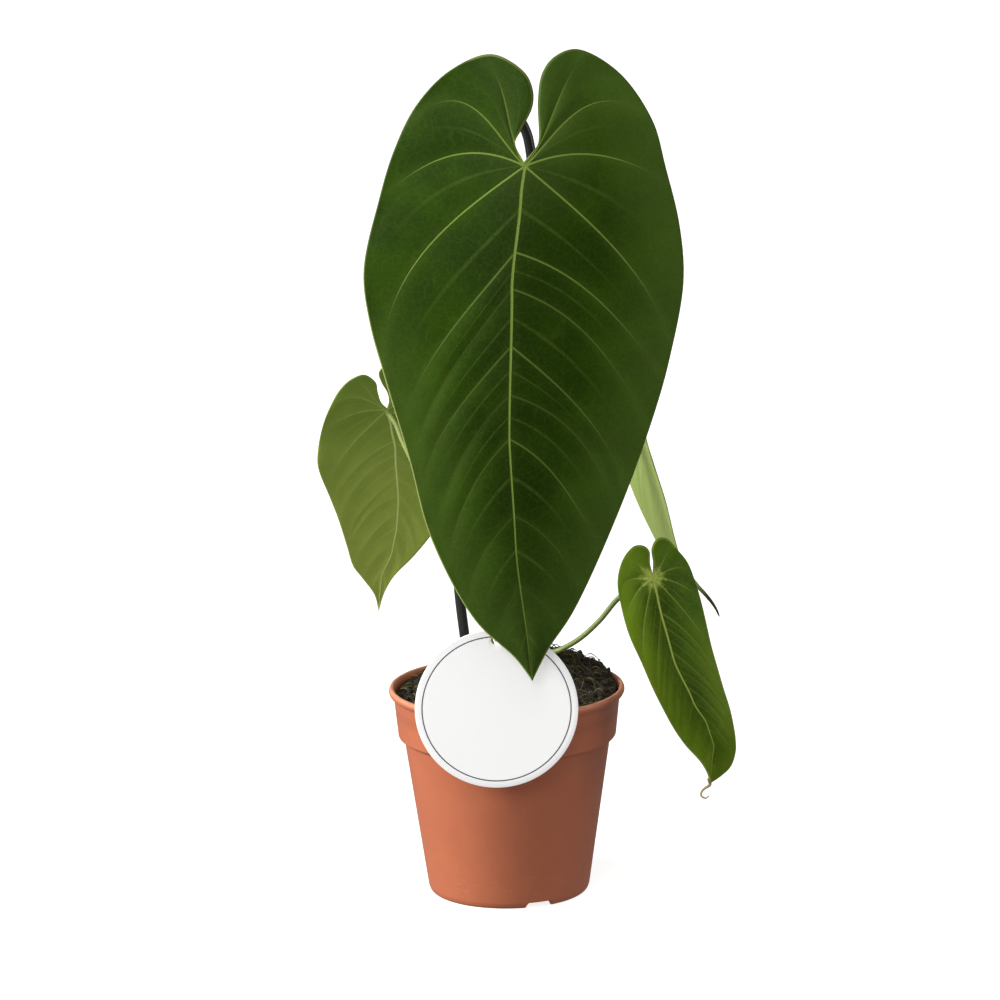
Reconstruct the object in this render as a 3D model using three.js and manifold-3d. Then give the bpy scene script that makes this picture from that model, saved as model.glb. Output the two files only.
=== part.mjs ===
// A potted Anthurium queremalense: one large hanging heart-shaped leaf and three smaller ones on a short
// crown, a black wire hoop as support, and a round blank label tied in front, in a pot with a notched foot.
// Millimetres, +Z up, origin at the middle of the pot's underside, front of the plant towards -Y.
import * as THREE from "three";
import { mergeVertices } from "three/addons/utils/BufferGeometryUtils.js";
import Module from "manifold-3d";

const wasm = await Module();
wasm.setup();

// Driving dimensions of the pot
const POT_HEIGHT = 107;
const RIM_RADIUS = 60;
const COLLAR_TOP_RADIUS = 57.6;
const COLLAR_FOOT_RADIUS = 55.5;
const COLLAR_FOOT_HEIGHT = 82;
const BODY_TOP_RADIUS = 52.5;
const BODY_TOP_HEIGHT = 80;
const BODY_FOOT_RADIUS = 41.2;
const FOOT_RADIUS = 40;
const FOOT_HEIGHT = 3;
const FOOT_RING_WIDTH = 2.2;
const WALL = 1.2;
const RIM_HEIGHT = 6.2;
const CENTRE_PAD_RADIUS = 9;
const NOTCH_COUNT = 3;
const NOTCH_FIRST_DEGREES = -67.7;
const NOTCH_WIDTH_TOP = 11.8;
const NOTCH_WIDTH_FOOT = 14.8;
const DRAIN_COUNT = 6;
const DRAIN_RADIUS = 4;
const DRAIN_CIRCLE_RADIUS = 25;
const POT_SEGMENTS = 48;

// Driving dimensions of the growing mix
const SOIL_LEVEL = 103.2;
const MOUND_HEIGHT = 14;
const MOUND_SPREAD = 22;
const MOUND_CENTRE = [20, 18];
const SOIL_SLOPE = [-0.02, 0.05];
const SOIL_SEGMENTS = 36;
const CLOD_COUNT = 26;
const FIBRE_COUNT = 10;
const SOIL_SEED = 20177;

// Driving dimensions of the support hoop, the label and its tie
const HOOP_RADIUS = 2.6;
const LABEL_RADIUS = 40.8;
const LABEL_THICKNESS = 0.8;
const LABEL_CENTRE = [-5.2, 110.6];
const LABEL_HOLE_RADIUS = 2.3;
const LABEL_HOLE_HEIGHT = 35.4;
const TIE_RADIUS = 0.6;
const TIE_HEIGHT = 149;

// Driving dimensions of the plant
const BLADE_THICKNESS = 0.8;
const QUILT_REACH = 0.92;
const CROWN_X = 1;
const CROWN_RADIUS = 8.5;
const CROWN_FOOT_HEIGHT = 78;
const CROWN_TOP_HEIGHT = 122;
const STALK_FOOT_HEIGHT = 111;
const CLEARANCE = 0.3;
const CUTTER_SIZE = 40;

const vec = (x, y, z) => new THREE.Vector3(x, y, z);
const curveOf = (points) => new THREE.CatmullRomCurve3(points.map((p) => vec(...p)), false, "centripetal");

// Seeded random numbers between 0 and 1
function randomFrom(seed) {
  let state = seed;
  return () => {
    state = (state * 1664525 + 1013904223) % 4294967296;
    return state / 4294967296;
  };
}

// A closed three.js geometry as a solid that can be joined and cut
function solidOf(geometry) {
  const bare = geometry.clone();
  bare.deleteAttribute("normal");
  bare.deleteAttribute("uv");
  const merged = mergeVertices(bare, 1e-4);
  return new wasm.Manifold(
    new wasm.Mesh({
      numProp: 3,
      vertProperties: new Float32Array(merged.attributes.position.array),
      triVerts: new Uint32Array(merged.index.array),
    }),
  );
}

function geometryOf(solid) {
  const mesh = solid.getMesh();
  const geometry = new THREE.BufferGeometry();
  geometry.setAttribute("position", new THREE.BufferAttribute(mesh.vertProperties, 3));
  geometry.setIndex(new THREE.BufferAttribute(mesh.triVerts, 1));
  geometry.computeVertexNormals();
  return geometry;
}

// A tube along a smooth route with flat ends. The radius follows radiusAt, a function of the route's share.
function tube(points, radiusAt, sides, steps) {
  const path = curveOf(points);
  const section = new THREE.Shape();
  for (let i = 0; i < sides; i++) {
    const turn = (2 * Math.PI * i) / sides;
    const corner = [Math.cos(turn), Math.sin(turn)];
    if (i === 0) section.moveTo(...corner);
    else section.lineTo(...corner);
  }
  section.closePath();
  const geometry = new THREE.ExtrudeGeometry(section, { steps, extrudePath: path, bevelEnabled: false });
  const centres = path.getSpacedPoints(steps);
  const position = geometry.attributes.position;
  const point = new THREE.Vector3();
  for (let i = 0; i < position.count; i++) {
    point.fromBufferAttribute(position, i);
    let nearest = 0;
    for (let k = 1; k <= steps; k++) {
      if (centres[k].distanceToSquared(point) < centres[nearest].distanceToSquared(point)) nearest = k;
    }
    point.sub(centres[nearest]).multiplyScalar(radiusAt(nearest / steps)).add(centres[nearest]);
    position.setXYZ(i, point.x, point.y, point.z);
  }
  return geometry;
}

const taper = (foot, tip) => (share) => foot + (tip - foot) * share;

// Venation of one half blade, from the basal vein beside the sinus to the tip. Each row is a vein from the
// midrib to the margin, as [start, first bow, second bow, end]: the start is a share of the blade's length
// along the midrib, the bows are how far the vein stands off the straight line at a third and two thirds of it,
// as shares of its length, and the end is a share of the outline's length from the sinus to the tip.
const VEINS_LEFT = [
  [0, -0.005, -0.057, 0.17],
  [0, -0.2, -0.3, 0.29],
  [0, -0.166, -0.145, 0.385],
  [0, -0.104, -0.129, 0.585],
  [0.164, -0.041, -0.058, 0.66],
  [0.234, -0.041, -0.055, 0.7],
  [0.344, -0.06, -0.078, 0.745],
  [0.438, -0.063, -0.055, 0.79],
  [0.523, -0.07, -0.062, 0.83],
  [0.672, -0.08, -0.09, 0.885],
  [0.809, -0.038, -0.03, 0.935],
  [1, 0, 0, 1],
];
const VEINS_RIGHT = [
  [0, 0.012, -0.02, 0.175],
  [0, -0.164, -0.238, 0.285],
  [0, -0.124, -0.116, 0.37],
  [0, -0.057, -0.073, 0.565],
  [0.164, -0.085, -0.07, 0.605],
  [0.234, -0.1, -0.083, 0.665],
  [0.344, -0.063, -0.074, 0.745],
  [0.438, -0.125, -0.111, 0.775],
  [0.523, -0.074, -0.05, 0.82],
  [0.672, -0.081, -0.065, 0.875],
  [0.809, -0.06, -0.07, 0.93],
  [1, 0, 0, 1],
];
// How much slower the sinus edge starts off than the basal vein beside it
const SINUS_PACE = 1.3;
// Steps from the sinus edge to the first vein, between neighbouring veins, and from the midrib to the margin
const LARGE_DETAIL = { sinus: 3, between: [4, 4, 6, 3, 2, 2, 2, 2, 3, 3, 4], across: 8 };
const SMALL_DETAIL = { sinus: 2, between: [3, 3, 4, 2, 1, 1, 1, 1, 2, 2, 3], across: 6 };

// Leaves. at is the sinus, facing the compass angle of the upper face, lean the tip's swing towards it and
// spin the turn of the tip in the blade's own plane. Outlines run from the sinus to the tip and the midrib
// from the sinus down, all as [across, down] from the sinus, seen on the upper face.
const FRONT_LEAF = {
  at: [12.2, -45, 382.1],
  facing: -90,
  lean: 6,
  spin: 0.5,
  length: 256,
  bow: 1,
  arch: 8,
  fold: 0.2,
  foldRadius: 10,
  hook: 0,
  quilt: 1.7,
  wave: 1.2,
  waves: 7,
  detail: LARGE_DETAIL,
  left: [
    [-0.3, -2], [-4.3, -11.3], [-1.4, -17.1], [4.7, -29.2], [4.7, -38.2], [0.6, -46.1], [-15, -54.8],
    [-35.6, -47.2], [-52.9, -30], [-64.5, -7.7], [-72.2, 15.8], [-80.6, 50.7], [-78.1, 76.7], [-71.7, 102.1],
    [-60.7, 141.9], [-50.3, 183.4], [-29.5, 224.8], [-9.7, 244.5], [-1.6, 256],
  ],
  right: [
    [-0.3, -2], [6.4, -9.8], [7.3, -13.3], [7.3, -32], [9.6, -44.8], [15.4, -52.5], [26.8, -56.3], [47, -44.8],
    [63.5, -20.7], [69.8, 3.1], [76, 31.5], [77.4, 59.8], [70.1, 95.8], [61.8, 123.7], [42, 174.7],
    [19.2, 222], [7.4, 239], [2.6, 247.6], [-1.6, 256],
  ],
  midrib: [[0, 0], [-2.1, 13.5], [-7.6, 59], [-10.5, 134], [-8.5, 188], [-2.9, 246], [-1.6, 256]],
};
const LEFT_LEAF = {
  at: [-59.2, 30.5, 244.1],
  facing: 100,
  lean: 22,
  spin: 0,
  length: 128.5,
  bow: 1,
  arch: 5,
  fold: 0.12,
  foldRadius: 8,
  hook: 3,
  quilt: 1.1,
  wave: 1,
  waves: 5,
  detail: SMALL_DETAIL,
  left: [
    [0, -1.7], [-0.7, -5.6], [0.4, -12], [4.2, -20], [6, -28], [-1, -36], [-15, -36], [-31, -23], [-41, -2],
    [-44, 20], [-41, 44], [-35, 66], [-27.1, 81.9], [-18.8, 94.7], [-9, 107], [-4.3, 117.5], [-1.8, 128.5],
  ],
  right: [
    [0, -1.7], [3.1, -5.7], [5.5, -13.3], [7.2, -20.5], [13.9, -26.7], [19.7, -24.4], [25.2, -17.7],
    [29.7, -7.9], [32.8, 3.2], [34.7, 22], [34.4, 31.8], [27.1, 53.2], [21.8, 68.3], [17.1, 84.1],
    [12.9, 98.4], [8, 106.2], [0.7, 118.3], [-1.8, 128.5],
  ],
  midrib: [
    [0, 0], [-2.9, 10.4], [-6.2, 26.9], [-9.5, 61.1], [-9.4, 76.4], [-7.6, 91.5], [-2.4, 107.1], [-1.8, 128.5],
  ],
};
const BACK_LEAF = {
  at: [49, 40, 280],
  facing: 16,
  lean: 14,
  spin: -6,
  length: 160,
  bow: 1,
  arch: 5,
  fold: 0.14,
  foldRadius: 6,
  hook: 21,
  quilt: 1.1,
  wave: 1,
  waves: 5,
  detail: SMALL_DETAIL,
  left: [
    [0, -1.8], [-2.5, -8], [-2.2, -17], [-5, -26], [-14, -30], [-27, -22], [-36, -5], [-42, 18], [-41, 46],
    [-36, 75], [-27, 100], [-17, 121], [-9, 137], [-4, 147], [-1.6, 154], [0, 160],
  ],
  right: [
    [0, -1.8], [2.5, -8], [2.2, -17], [5, -26], [14, -30], [27, -22], [36, -5], [41, 18], [39, 46],
    [34, 75], [27, 100], [19, 121], [10, 136], [4, 147], [1.6, 154], [0, 160],
  ],
  midrib: [[0, 0], [1, 50], [1, 110], [0, 160]],
};
const RIGHT_LEAF = {
  at: [74, -30, 169.7],
  facing: -72,
  lean: 8,
  spin: 12,
  length: 110,
  bow: 0.6,
  arch: 6,
  fold: 0.38,
  foldRadius: 5,
  hook: 0,
  quilt: 0.8,
  wave: 0.7,
  waves: 5,
  detail: SMALL_DETAIL,
  left: [
    [0.6, -1.9], [1.1, -6.9], [2.9, -12.6], [0.8, -16], [-3.6, -17.1], [-9.2, -13.8], [-14.5, -7.3],
    [-17.6, -0.3], [-19, 11.2], [-19.4, 25.7], [-17.3, 40.9], [-14.9, 56.4], [-11.1, 72.3], [-6.4, 86],
    [-0.8, 97.3], [1.3, 104.2], [1.7, 109.9],
  ],
  right: [
    [0.6, -1.9], [2.6, -6.5], [4.6, -13.7], [9.6, -17], [15.2, -15], [18.7, -7.9], [22, -0.2], [23.1, 13.5],
    [22.2, 29.1], [21.5, 45], [21.3, 61.2], [22, 76.4], [21, 92.6], [19.8, 99.1], [15.4, 105.5], [9, 108.2],
    [1.7, 109.9],
  ],
  midrib: [
    [0, 0], [-1.8, 19.9], [-2.1, 43.1], [2.2, 66.1], [6.5, 79.1], [7.6, 90.7], [4.4, 100.6], [1.7, 109.9],
  ],
};

// The thin dry thread that the small right blade ends in, as [across, down] from its sinus
const DRY_TIP = [
  [1.7, 108.6], [1.6, 110.4], [-1.3, 111.4], [-3.4, 112.8], [-4, 114.6], [-2.3, 116.4], [-0.4, 115.8],
];

function bladeAxes(leaf) {
  const turn = (degrees) => (degrees * Math.PI) / 180;
  const outward = vec(Math.cos(turn(leaf.facing)), Math.sin(turn(leaf.facing)), 0);
  const down = vec(0, 0, -1);
  const side = outward.clone().cross(down);
  const along = down.clone().multiplyScalar(Math.cos(turn(leaf.lean)));
  along.addScaledVector(outward, Math.sin(turn(leaf.lean)));
  const face = outward.clone().multiplyScalar(Math.cos(turn(leaf.lean)));
  face.addScaledVector(down, -Math.sin(turn(leaf.lean)));
  const tipward = along.clone().multiplyScalar(Math.cos(turn(leaf.spin)));
  tipward.addScaledVector(side, Math.sin(turn(leaf.spin)));
  const across = side.clone().multiplyScalar(Math.cos(turn(leaf.spin)));
  across.addScaledVector(along, -Math.sin(turn(leaf.spin)));
  return { origin: vec(...leaf.at), across, tipward, face };
}

// The midrib's sideways place at a distance down the blade
function midribAt(leaf, down) {
  const rib = leaf.midrib;
  if (down <= 0) return 0;
  for (let i = 1; i < rib.length; i++) {
    if (down <= rib[i][1]) {
      const share = (down - rib[i - 1][1]) / (rib[i][1] - rib[i - 1][1]);
      const smooth = share * share * (3 - 2 * share);
      return rib[i - 1][0] + (rib[i][0] - rib[i - 1][0]) * (0.5 * share + 0.5 * smooth);
    }
  }
  return rib[rib.length - 1][0];
}

// How far the blade's middle surface stands off its own plane at a point of the outline's plane
function bladeHeight(leaf, across, down) {
  const share = Math.max(down / leaf.length, -0.3);
  const fromRib = across - midribAt(leaf, down);
  const bent = Math.sqrt(fromRib ** 2 + leaf.foldRadius ** 2) - leaf.foldRadius;
  return 4 * leaf.arch * share * (1 - share) - leaf.fold * bent + leaf.hook * Math.max(share, 0) ** 4;
}

function placeOnBlade(axes, across, down, height) {
  const place = axes.origin.clone();
  place.addScaledVector(axes.across, across);
  place.addScaledVector(axes.tipward, down);
  return place.addScaledVector(axes.face, height);
}

// The value of the smooth curve through four neighbouring table values
function smoothBetween(before, from, to, after, share) {
  const slopeFrom = (to - before) / 2;
  const slopeTo = (after - from) / 2;
  const s = share;
  return (
    (2 * s ** 3 - 3 * s ** 2 + 1) * from +
    (s ** 3 - 2 * s ** 2 + s) * slopeFrom +
    (3 * s ** 2 - 2 * s ** 3) * to +
    (s ** 3 - s ** 2) * slopeTo
  );
}

// Where a vein passes, [across, down], at a share of its way from the midrib to the margin
function placeOnVein(vein, hand, share) {
  const [run, fall] = [vein.end.x - vein.start.x, vein.end.y - vein.start.y];
  const first = 13.5 * share * (share - 2 / 3) * (share - 1);
  const second = -13.5 * share * (share - 1 / 3) * (share - 1);
  const off = hand * (vein.firstBow * first + vein.secondBow * second);
  return [vein.start.x + run * share - fall * off, vein.start.y + fall * share + run * off];
}

// One half of a blade as rows of points on its middle surface, from the sinus edge over the veins to the tip,
// each row from the midrib to the margin. hand is -1 for the left half and 1 for the right one.
function halfBlade(leaf, axes, hand) {
  const veins = hand < 0 ? VEINS_LEFT : VEINS_RIGHT;
  const outline = curveOf((hand < 0 ? leaf.left : leaf.right).map(([x, y]) => [x, y, 0]));
  const rows = [];
  for (let gap = 0; gap < veins.length - 1; gap++) {
    const [before, from] = [veins[Math.max(gap - 1, 0)], veins[gap]];
    const [to, after] = [veins[gap + 1], veins[Math.min(gap + 2, veins.length - 1)]];
    const steps = leaf.detail.between[gap];
    for (let step = 0; step < steps; step++) {
      const share = step / steps;
      const value = (k) => smoothBetween(before[k], from[k], to[k], after[k], share);
      const start = (from[0] + (to[0] - from[0]) * share) * leaf.length;
      const edge = Math.min(value(3), 1);
      const vein = {
        start: { x: midribAt(leaf, start), y: start },
        end: outline.getPointAt(edge),
        firstBow: value(1) * leaf.bow,
        secondBow: value(2) * leaf.bow,
      };
      rows.push({ share, edge, placeAt: (s) => placeOnVein(vein, hand, s) });
    }
  }
  const basal = rows[0];
  for (let step = leaf.detail.sinus - 1; step >= 0; step--) {
    const share = step / leaf.detail.sinus;
    const placeAt = (s) => {
      const margin = outline.getPointAt(basal.edge * s ** SINUS_PACE);
      const [x, y] = basal.placeAt(s);
      return [margin.x + (x - margin.x) * share, margin.y + (y - margin.y) * share];
    };
    rows.unshift({ share, edge: basal.edge, placeAt });
  }
  return rows.map((row) => {
    const points = [];
    for (let k = 0; k <= leaf.detail.across; k++) {
      const s = k / leaf.detail.across;
      const [across, down] = row.placeAt(s);
      const swell = Math.sin(Math.PI * row.share) * Math.sin(Math.PI * Math.min(s / QUILT_REACH, 1));
      const quilt = leaf.quilt * swell;
      const ripple = Math.sin(2 * Math.PI * leaf.waves * row.edge + hand) * s ** 5;
      const wave = leaf.wave * ripple * Math.min(row.edge * 8, 1) * (1 - row.edge);
      points.push(placeOnBlade(axes, across, down, bladeHeight(leaf, across, down) + quilt + wave));
    }
    return points;
  });
}

// A whole blade: both halves meet on the midrib, and the two faces are the middle surface moved half the
// thickness each way, split into the same triangles, with a narrow wall round the margin.
function bladeGeometry(leaf) {
  const axes = bladeAxes(leaf);
  const tipHeight = bladeHeight(leaf, leaf.midrib[leaf.midrib.length - 1][0], leaf.length);
  const tip = placeOnBlade(axes, leaf.midrib[leaf.midrib.length - 1][0], leaf.length, tipHeight);
  const half = axes.face.clone().multiplyScalar(BLADE_THICKNESS / 2);
  const corners = [];
  const triangle = (a, b, c) => {
    if (a.distanceTo(b) < 1e-6 || b.distanceTo(c) < 1e-6 || c.distanceTo(a) < 1e-6) return;
    corners.push(a, b, c);
  };
  const bothFaces = (a, b, c) => {
    triangle(a.clone().add(half), b.clone().add(half), c.clone().add(half));
    triangle(a.clone().sub(half), c.clone().sub(half), b.clone().sub(half));
  };
  const wall = (a, b) => {
    const [aTop, bTop] = [a.clone().add(half), b.clone().add(half)];
    const [aLow, bLow] = [a.clone().sub(half), b.clone().sub(half)];
    triangle(aTop, aLow, bLow);
    triangle(aTop, bLow, bTop);
  };
  for (const hand of [-1, 1]) {
    const rows = halfBlade(leaf, axes, hand);
    rows.push(rows[0].map(() => tip));
    const last = rows[0].length - 1;
    for (let r = 0; r + 1 < rows.length; r++) {
      for (let k = 0; k < last; k++) {
        const [a, b] = [rows[r][k], rows[r][k + 1]];
        const [c, d] = [rows[r + 1][k + 1], rows[r + 1][k]];
        if (hand < 0) {
          bothFaces(a, b, c);
          bothFaces(a, c, d);
        } else {
          bothFaces(a, c, b);
          bothFaces(a, d, c);
        }
      }
      if (hand < 0) wall(rows[r][last], rows[r + 1][last]);
      else wall(rows[r + 1][last], rows[r][last]);
    }
    for (let k = 0; k < last; k++) {
      if (hand < 0) wall(rows[0][k], rows[0][k + 1]);
      else wall(rows[0][k + 1], rows[0][k]);
    }
  }
  return new THREE.BufferGeometry().setFromPoints(corners);
}

// The place and direction just behind a blade's sinus, where its stalk ends
function stalkSeat(leaf, down) {
  const axes = bladeAxes(leaf);
  const across = midribAt(leaf, down);
  const place = placeOnBlade(axes, across, down, bladeHeight(leaf, across, down));
  const ahead = placeOnBlade(axes, across, down + 1, bladeHeight(leaf, across, down + 1));
  const tangent = ahead.sub(place).normalize();
  const normal = axes.face.clone().addScaledVector(tangent, -axes.face.dot(tangent)).normalize();
  return { place, normal };
}

// The whole route and thickness of a leaf stalk, grown all round by a margin. It runs on past its blade's
// seat.
function stalkTube(spec, margin) {
  const seat = stalkSeat(spec.leaf, spec.seatDown);
  const behind = seat.place.clone().addScaledVector(seat.normal, -BLADE_THICKNESS / 2 - CLEARANCE);
  const beyond = behind.clone().addScaledVector(vec(...spec.arrival).normalize(), 6);
  const [x, y, z] = spec.route[0];
  const route = [[x, y, z - margin], ...spec.route.slice(1), behind.toArray(), beyond.toArray()];
  const thickness = (share) => {
    const foot = (spec.baseRadius - spec.radius) * Math.max(1 - share * 7, 0) ** 1.5;
    const knee = (spec.kneeRadius - spec.radius) * Math.max((share - 0.86) / 0.14, 0) ** 1.2;
    return spec.radius + foot + knee + margin;
  };
  return { solid: solidOf(tube(route, thickness, 8, spec.steps)), behind, normal: seat.normal };
}

// A leaf stalk from the crown to its blade, cut off flat a clearance behind the blade
function stalkSolid(spec) {
  const { solid, behind, normal } = stalkTube(spec, 0);
  const front = new THREE.BoxGeometry(CUTTER_SIZE, CUTTER_SIZE, CUTTER_SIZE);
  front.translate(0, 0, CUTTER_SIZE / 2);
  front.applyQuaternion(new THREE.Quaternion().setFromUnitVectors(vec(0, 0, 1), normal));
  front.translate(behind.x, behind.y, behind.z);
  return solid.subtract(solidOf(front));
}

const STALKS = {
  front: {
    leaf: FRONT_LEAF,
    route: [
      [5.9, 0.4, STALK_FOOT_HEIGHT], [6.2, 1, 126], [7.3, 3, 160], [9.5, 5, 240], [13, 4, 310],
      [14.5, -4, 350], [14, -20, 369], [12.6, -33, 376],
    ],
    arrival: [0, -0.85, 0.4],
    seatDown: 4,
    radius: 2.5,
    baseRadius: 3,
    kneeRadius: 3.1,
    steps: 26,
  },
  left: {
    leaf: LEFT_LEAF,
    route: [
      [-3.9, 0, STALK_FOOT_HEIGHT], [-5.6, 0.6, 122], [-12, 2.5, 142], [-24, 6, 171.8], [-36, 9.5, 199.5],
      [-46.5, 14.5, 221.3], [-51.4, 19, 231.1], [-54.3, 22.3, 238.5], [-57.3, 25.5, 242.4],
    ],
    arrival: [-0.6, 0.7, 0.3],
    seatDown: 2.2,
    radius: 1.3,
    baseRadius: 2.2,
    kneeRadius: 1.6,
    steps: 26,
  },
  back: {
    leaf: BACK_LEAF,
    route: [
      [1, 4.9, STALK_FOOT_HEIGHT], [3.5, 7, 123], [12, 7.5, 138], [24, 9, 165], [33, 16, 200], [39, 27, 240],
      [42.5, 35, 266],
    ],
    arrival: [0.75, 0.2, 0.6],
    seatDown: 3,
    radius: 1.5,
    baseRadius: 2.2,
    kneeRadius: 1.9,
    steps: 26,
  },
  right: {
    leaf: RIGHT_LEAF,
    route: [
      [1.4, -4.9, STALK_FOOT_HEIGHT], [4, -7, 118.5], [12, -10, 125], [24.7, -12.5, 127.3], [28.8, -14, 129.3],
      [37.4, -17, 135.2], [47.5, -21.5, 145.7], [56.1, -25, 157], [65, -26.3, 164.5],
    ],
    arrival: [0.8, -0.5, 0.3],
    seatDown: 2.4,
    radius: 1.35,
    baseRadius: 2,
    kneeRadius: 1.5,
    steps: 26,
  },
};

// Pot: a thin turned shell with a rolled rim, a deep collar, a foot ring and a flat pad under its middle
function potProfile() {
  const innerCollar = COLLAR_FOOT_RADIUS - WALL;
  const floorTop = FOOT_HEIGHT + WALL;
  return [
    [0, 0],
    [CENTRE_PAD_RADIUS, 0],
    [CENTRE_PAD_RADIUS + 0.6, FOOT_HEIGHT],
    [FOOT_RADIUS - FOOT_RING_WIDTH - 0.4, FOOT_HEIGHT],
    [FOOT_RADIUS - FOOT_RING_WIDTH, 0],
    [FOOT_RADIUS - 0.6, 0],
    [FOOT_RADIUS + 0.4, 0.9],
    [BODY_FOOT_RADIUS, FOOT_HEIGHT],
    [BODY_TOP_RADIUS, BODY_TOP_HEIGHT],
    [COLLAR_FOOT_RADIUS - 0.4, COLLAR_FOOT_HEIGHT - 0.6],
    [COLLAR_FOOT_RADIUS, COLLAR_FOOT_HEIGHT],
    [COLLAR_TOP_RADIUS, POT_HEIGHT - RIM_HEIGHT],
    [RIM_RADIUS - 0.7, POT_HEIGHT - RIM_HEIGHT + 0.6],
    [RIM_RADIUS, POT_HEIGHT - RIM_HEIGHT + 1.8],
    [RIM_RADIUS, POT_HEIGHT - 1.6],
    [RIM_RADIUS - 0.5, POT_HEIGHT - 0.4],
    [RIM_RADIUS - 1.2, POT_HEIGHT],
    [RIM_RADIUS - 2.2, POT_HEIGHT - 0.2],
    [RIM_RADIUS - 2.7, POT_HEIGHT - 1.2],
    [COLLAR_TOP_RADIUS - WALL, POT_HEIGHT - RIM_HEIGHT + WALL],
    [innerCollar, COLLAR_FOOT_HEIGHT + 0.6],
    [BODY_TOP_RADIUS - WALL, BODY_TOP_HEIGHT - 0.4],
    [BODY_FOOT_RADIUS - WALL + 0.6, floorTop + 2.4],
    [BODY_FOOT_RADIUS - WALL - 1, floorTop],
    [0, floorTop],
  ];
}

function notchCutter(degrees) {
  const reach = 14;
  const outline = new THREE.Shape();
  outline.moveTo(-NOTCH_WIDTH_FOOT / 2, -1);
  outline.lineTo(NOTCH_WIDTH_FOOT / 2, -1);
  outline.lineTo(NOTCH_WIDTH_TOP / 2, FOOT_HEIGHT);
  outline.lineTo(-NOTCH_WIDTH_TOP / 2, FOOT_HEIGHT);
  outline.closePath();
  const cutter = new THREE.ExtrudeGeometry(outline, { depth: reach, bevelEnabled: false });
  cutter.rotateX(Math.PI / 2);
  cutter.translate(0, FOOT_RADIUS + reach / 2 - 2, 0);
  cutter.rotateZ(((degrees - 90) * Math.PI) / 180);
  return solidOf(cutter);
}

function potSolid() {
  const profile = potProfile().map(([r, z]) => new THREE.Vector2(r, z));
  const shell = new THREE.LatheGeometry(profile, POT_SEGMENTS);
  shell.rotateX(Math.PI / 2);
  let pot = solidOf(shell);
  for (let i = 0; i < NOTCH_COUNT; i++) {
    pot = pot.subtract(notchCutter(NOTCH_FIRST_DEGREES + (360 * i) / NOTCH_COUNT));
  }
  for (let i = 0; i < DRAIN_COUNT; i++) {
    const turn = (2 * Math.PI * (i + 0.5)) / DRAIN_COUNT;
    const drain = new THREE.CylinderGeometry(DRAIN_RADIUS, DRAIN_RADIUS, 8, 12);
    drain.rotateX(Math.PI / 2);
    drain.translate(DRAIN_CIRCLE_RADIUS * Math.cos(turn), DRAIN_CIRCLE_RADIUS * Math.sin(turn), FOOT_HEIGHT);
    pot = pot.subtract(solidOf(drain));
  }
  return pot;
}

// Growing mix: fills the pot, heaped towards the crown and the back, with a broken surface
function soilHeight(x, y) {
  const gap = ((x - MOUND_CENTRE[0]) ** 2 + (y - MOUND_CENTRE[1]) ** 2) / (2 * MOUND_SPREAD ** 2);
  const crumbs = 0.7 * Math.sin(0.31 * x + Math.sin(0.23 * y)) * Math.sin(0.27 * y + Math.sin(0.19 * x));
  return SOIL_LEVEL + MOUND_HEIGHT * Math.exp(-gap) + SOIL_SLOPE[0] * x + SOIL_SLOPE[1] * y + crumbs;
}

function soilBody() {
  const floor = FOOT_HEIGHT + WALL + CLEARANCE;
  const inset = 2 * CLEARANCE;
  const wall = [
    [BODY_FOOT_RADIUS - WALL - 1 - inset, floor],
    [BODY_FOOT_RADIUS - WALL + 0.6 - inset, floor + 2.4],
    [BODY_TOP_RADIUS - WALL - inset, BODY_TOP_HEIGHT - 0.4],
    [COLLAR_FOOT_RADIUS - WALL - inset, COLLAR_FOOT_HEIGHT + 1.4],
  ];
  const topRadius = COLLAR_TOP_RADIUS - WALL - inset - 0.6;
  const rings = [0.97, 0.88, 0.75, 0.6, 0.45, 0.28];
  const ring = (radiusAt, heightAt) =>
    Array.from({ length: SOIL_SEGMENTS }, (_, i) => {
      const turn = (2 * Math.PI * i) / SOIL_SEGMENTS;
      const r = radiusAt(turn);
      return vec(r * Math.cos(turn), r * Math.sin(turn), heightAt(r * Math.cos(turn), r * Math.sin(turn)));
    });
  const loops = wall.map(([r, z]) => ring(() => r, () => z));
  loops.push(ring(() => topRadius, (x, y) => Math.min(soilHeight(x, y) - 1.2, POT_HEIGHT - 5.4)));
  for (const share of rings) {
    loops.push(ring((turn) => topRadius * share * (1 + 0.008 * Math.sin(7 * turn + 20 * share)), soilHeight));
  }
  const corners = [];
  const bottom = vec(0, 0, floor);
  const top = vec(0, 0, soilHeight(0, 0));
  for (let i = 0; i < SOIL_SEGMENTS; i++) {
    const j = (i + 1) % SOIL_SEGMENTS;
    corners.push(bottom, loops[0][j], loops[0][i]);
    for (let k = 0; k + 1 < loops.length; k++) {
      const [low, high] = [loops[k], loops[k + 1]];
      corners.push(low[i], low[j], high[j], low[i], high[j], high[i]);
    }
    corners.push(loops[loops.length - 1][i], loops[loops.length - 1][j], top);
  }
  return solidOf(new THREE.BufferGeometry().setFromPoints(corners));
}

function clodSolid(random) {
  const turn = 2 * Math.PI * random();
  const distance = 50 * Math.sqrt(random());
  const size = 1.6 + 2.2 * random();
  const clod = new THREE.IcosahedronGeometry(size, 0);
  clod.scale(1, 0.7 + 0.5 * random(), 0.55 + 0.3 * random());
  clod.rotateZ(Math.PI * random());
  const [x, y] = [distance * Math.cos(turn), distance * Math.sin(turn)];
  clod.translate(x, y, soilHeight(x, y) + 0.15 * size);
  return solidOf(clod);
}

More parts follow.
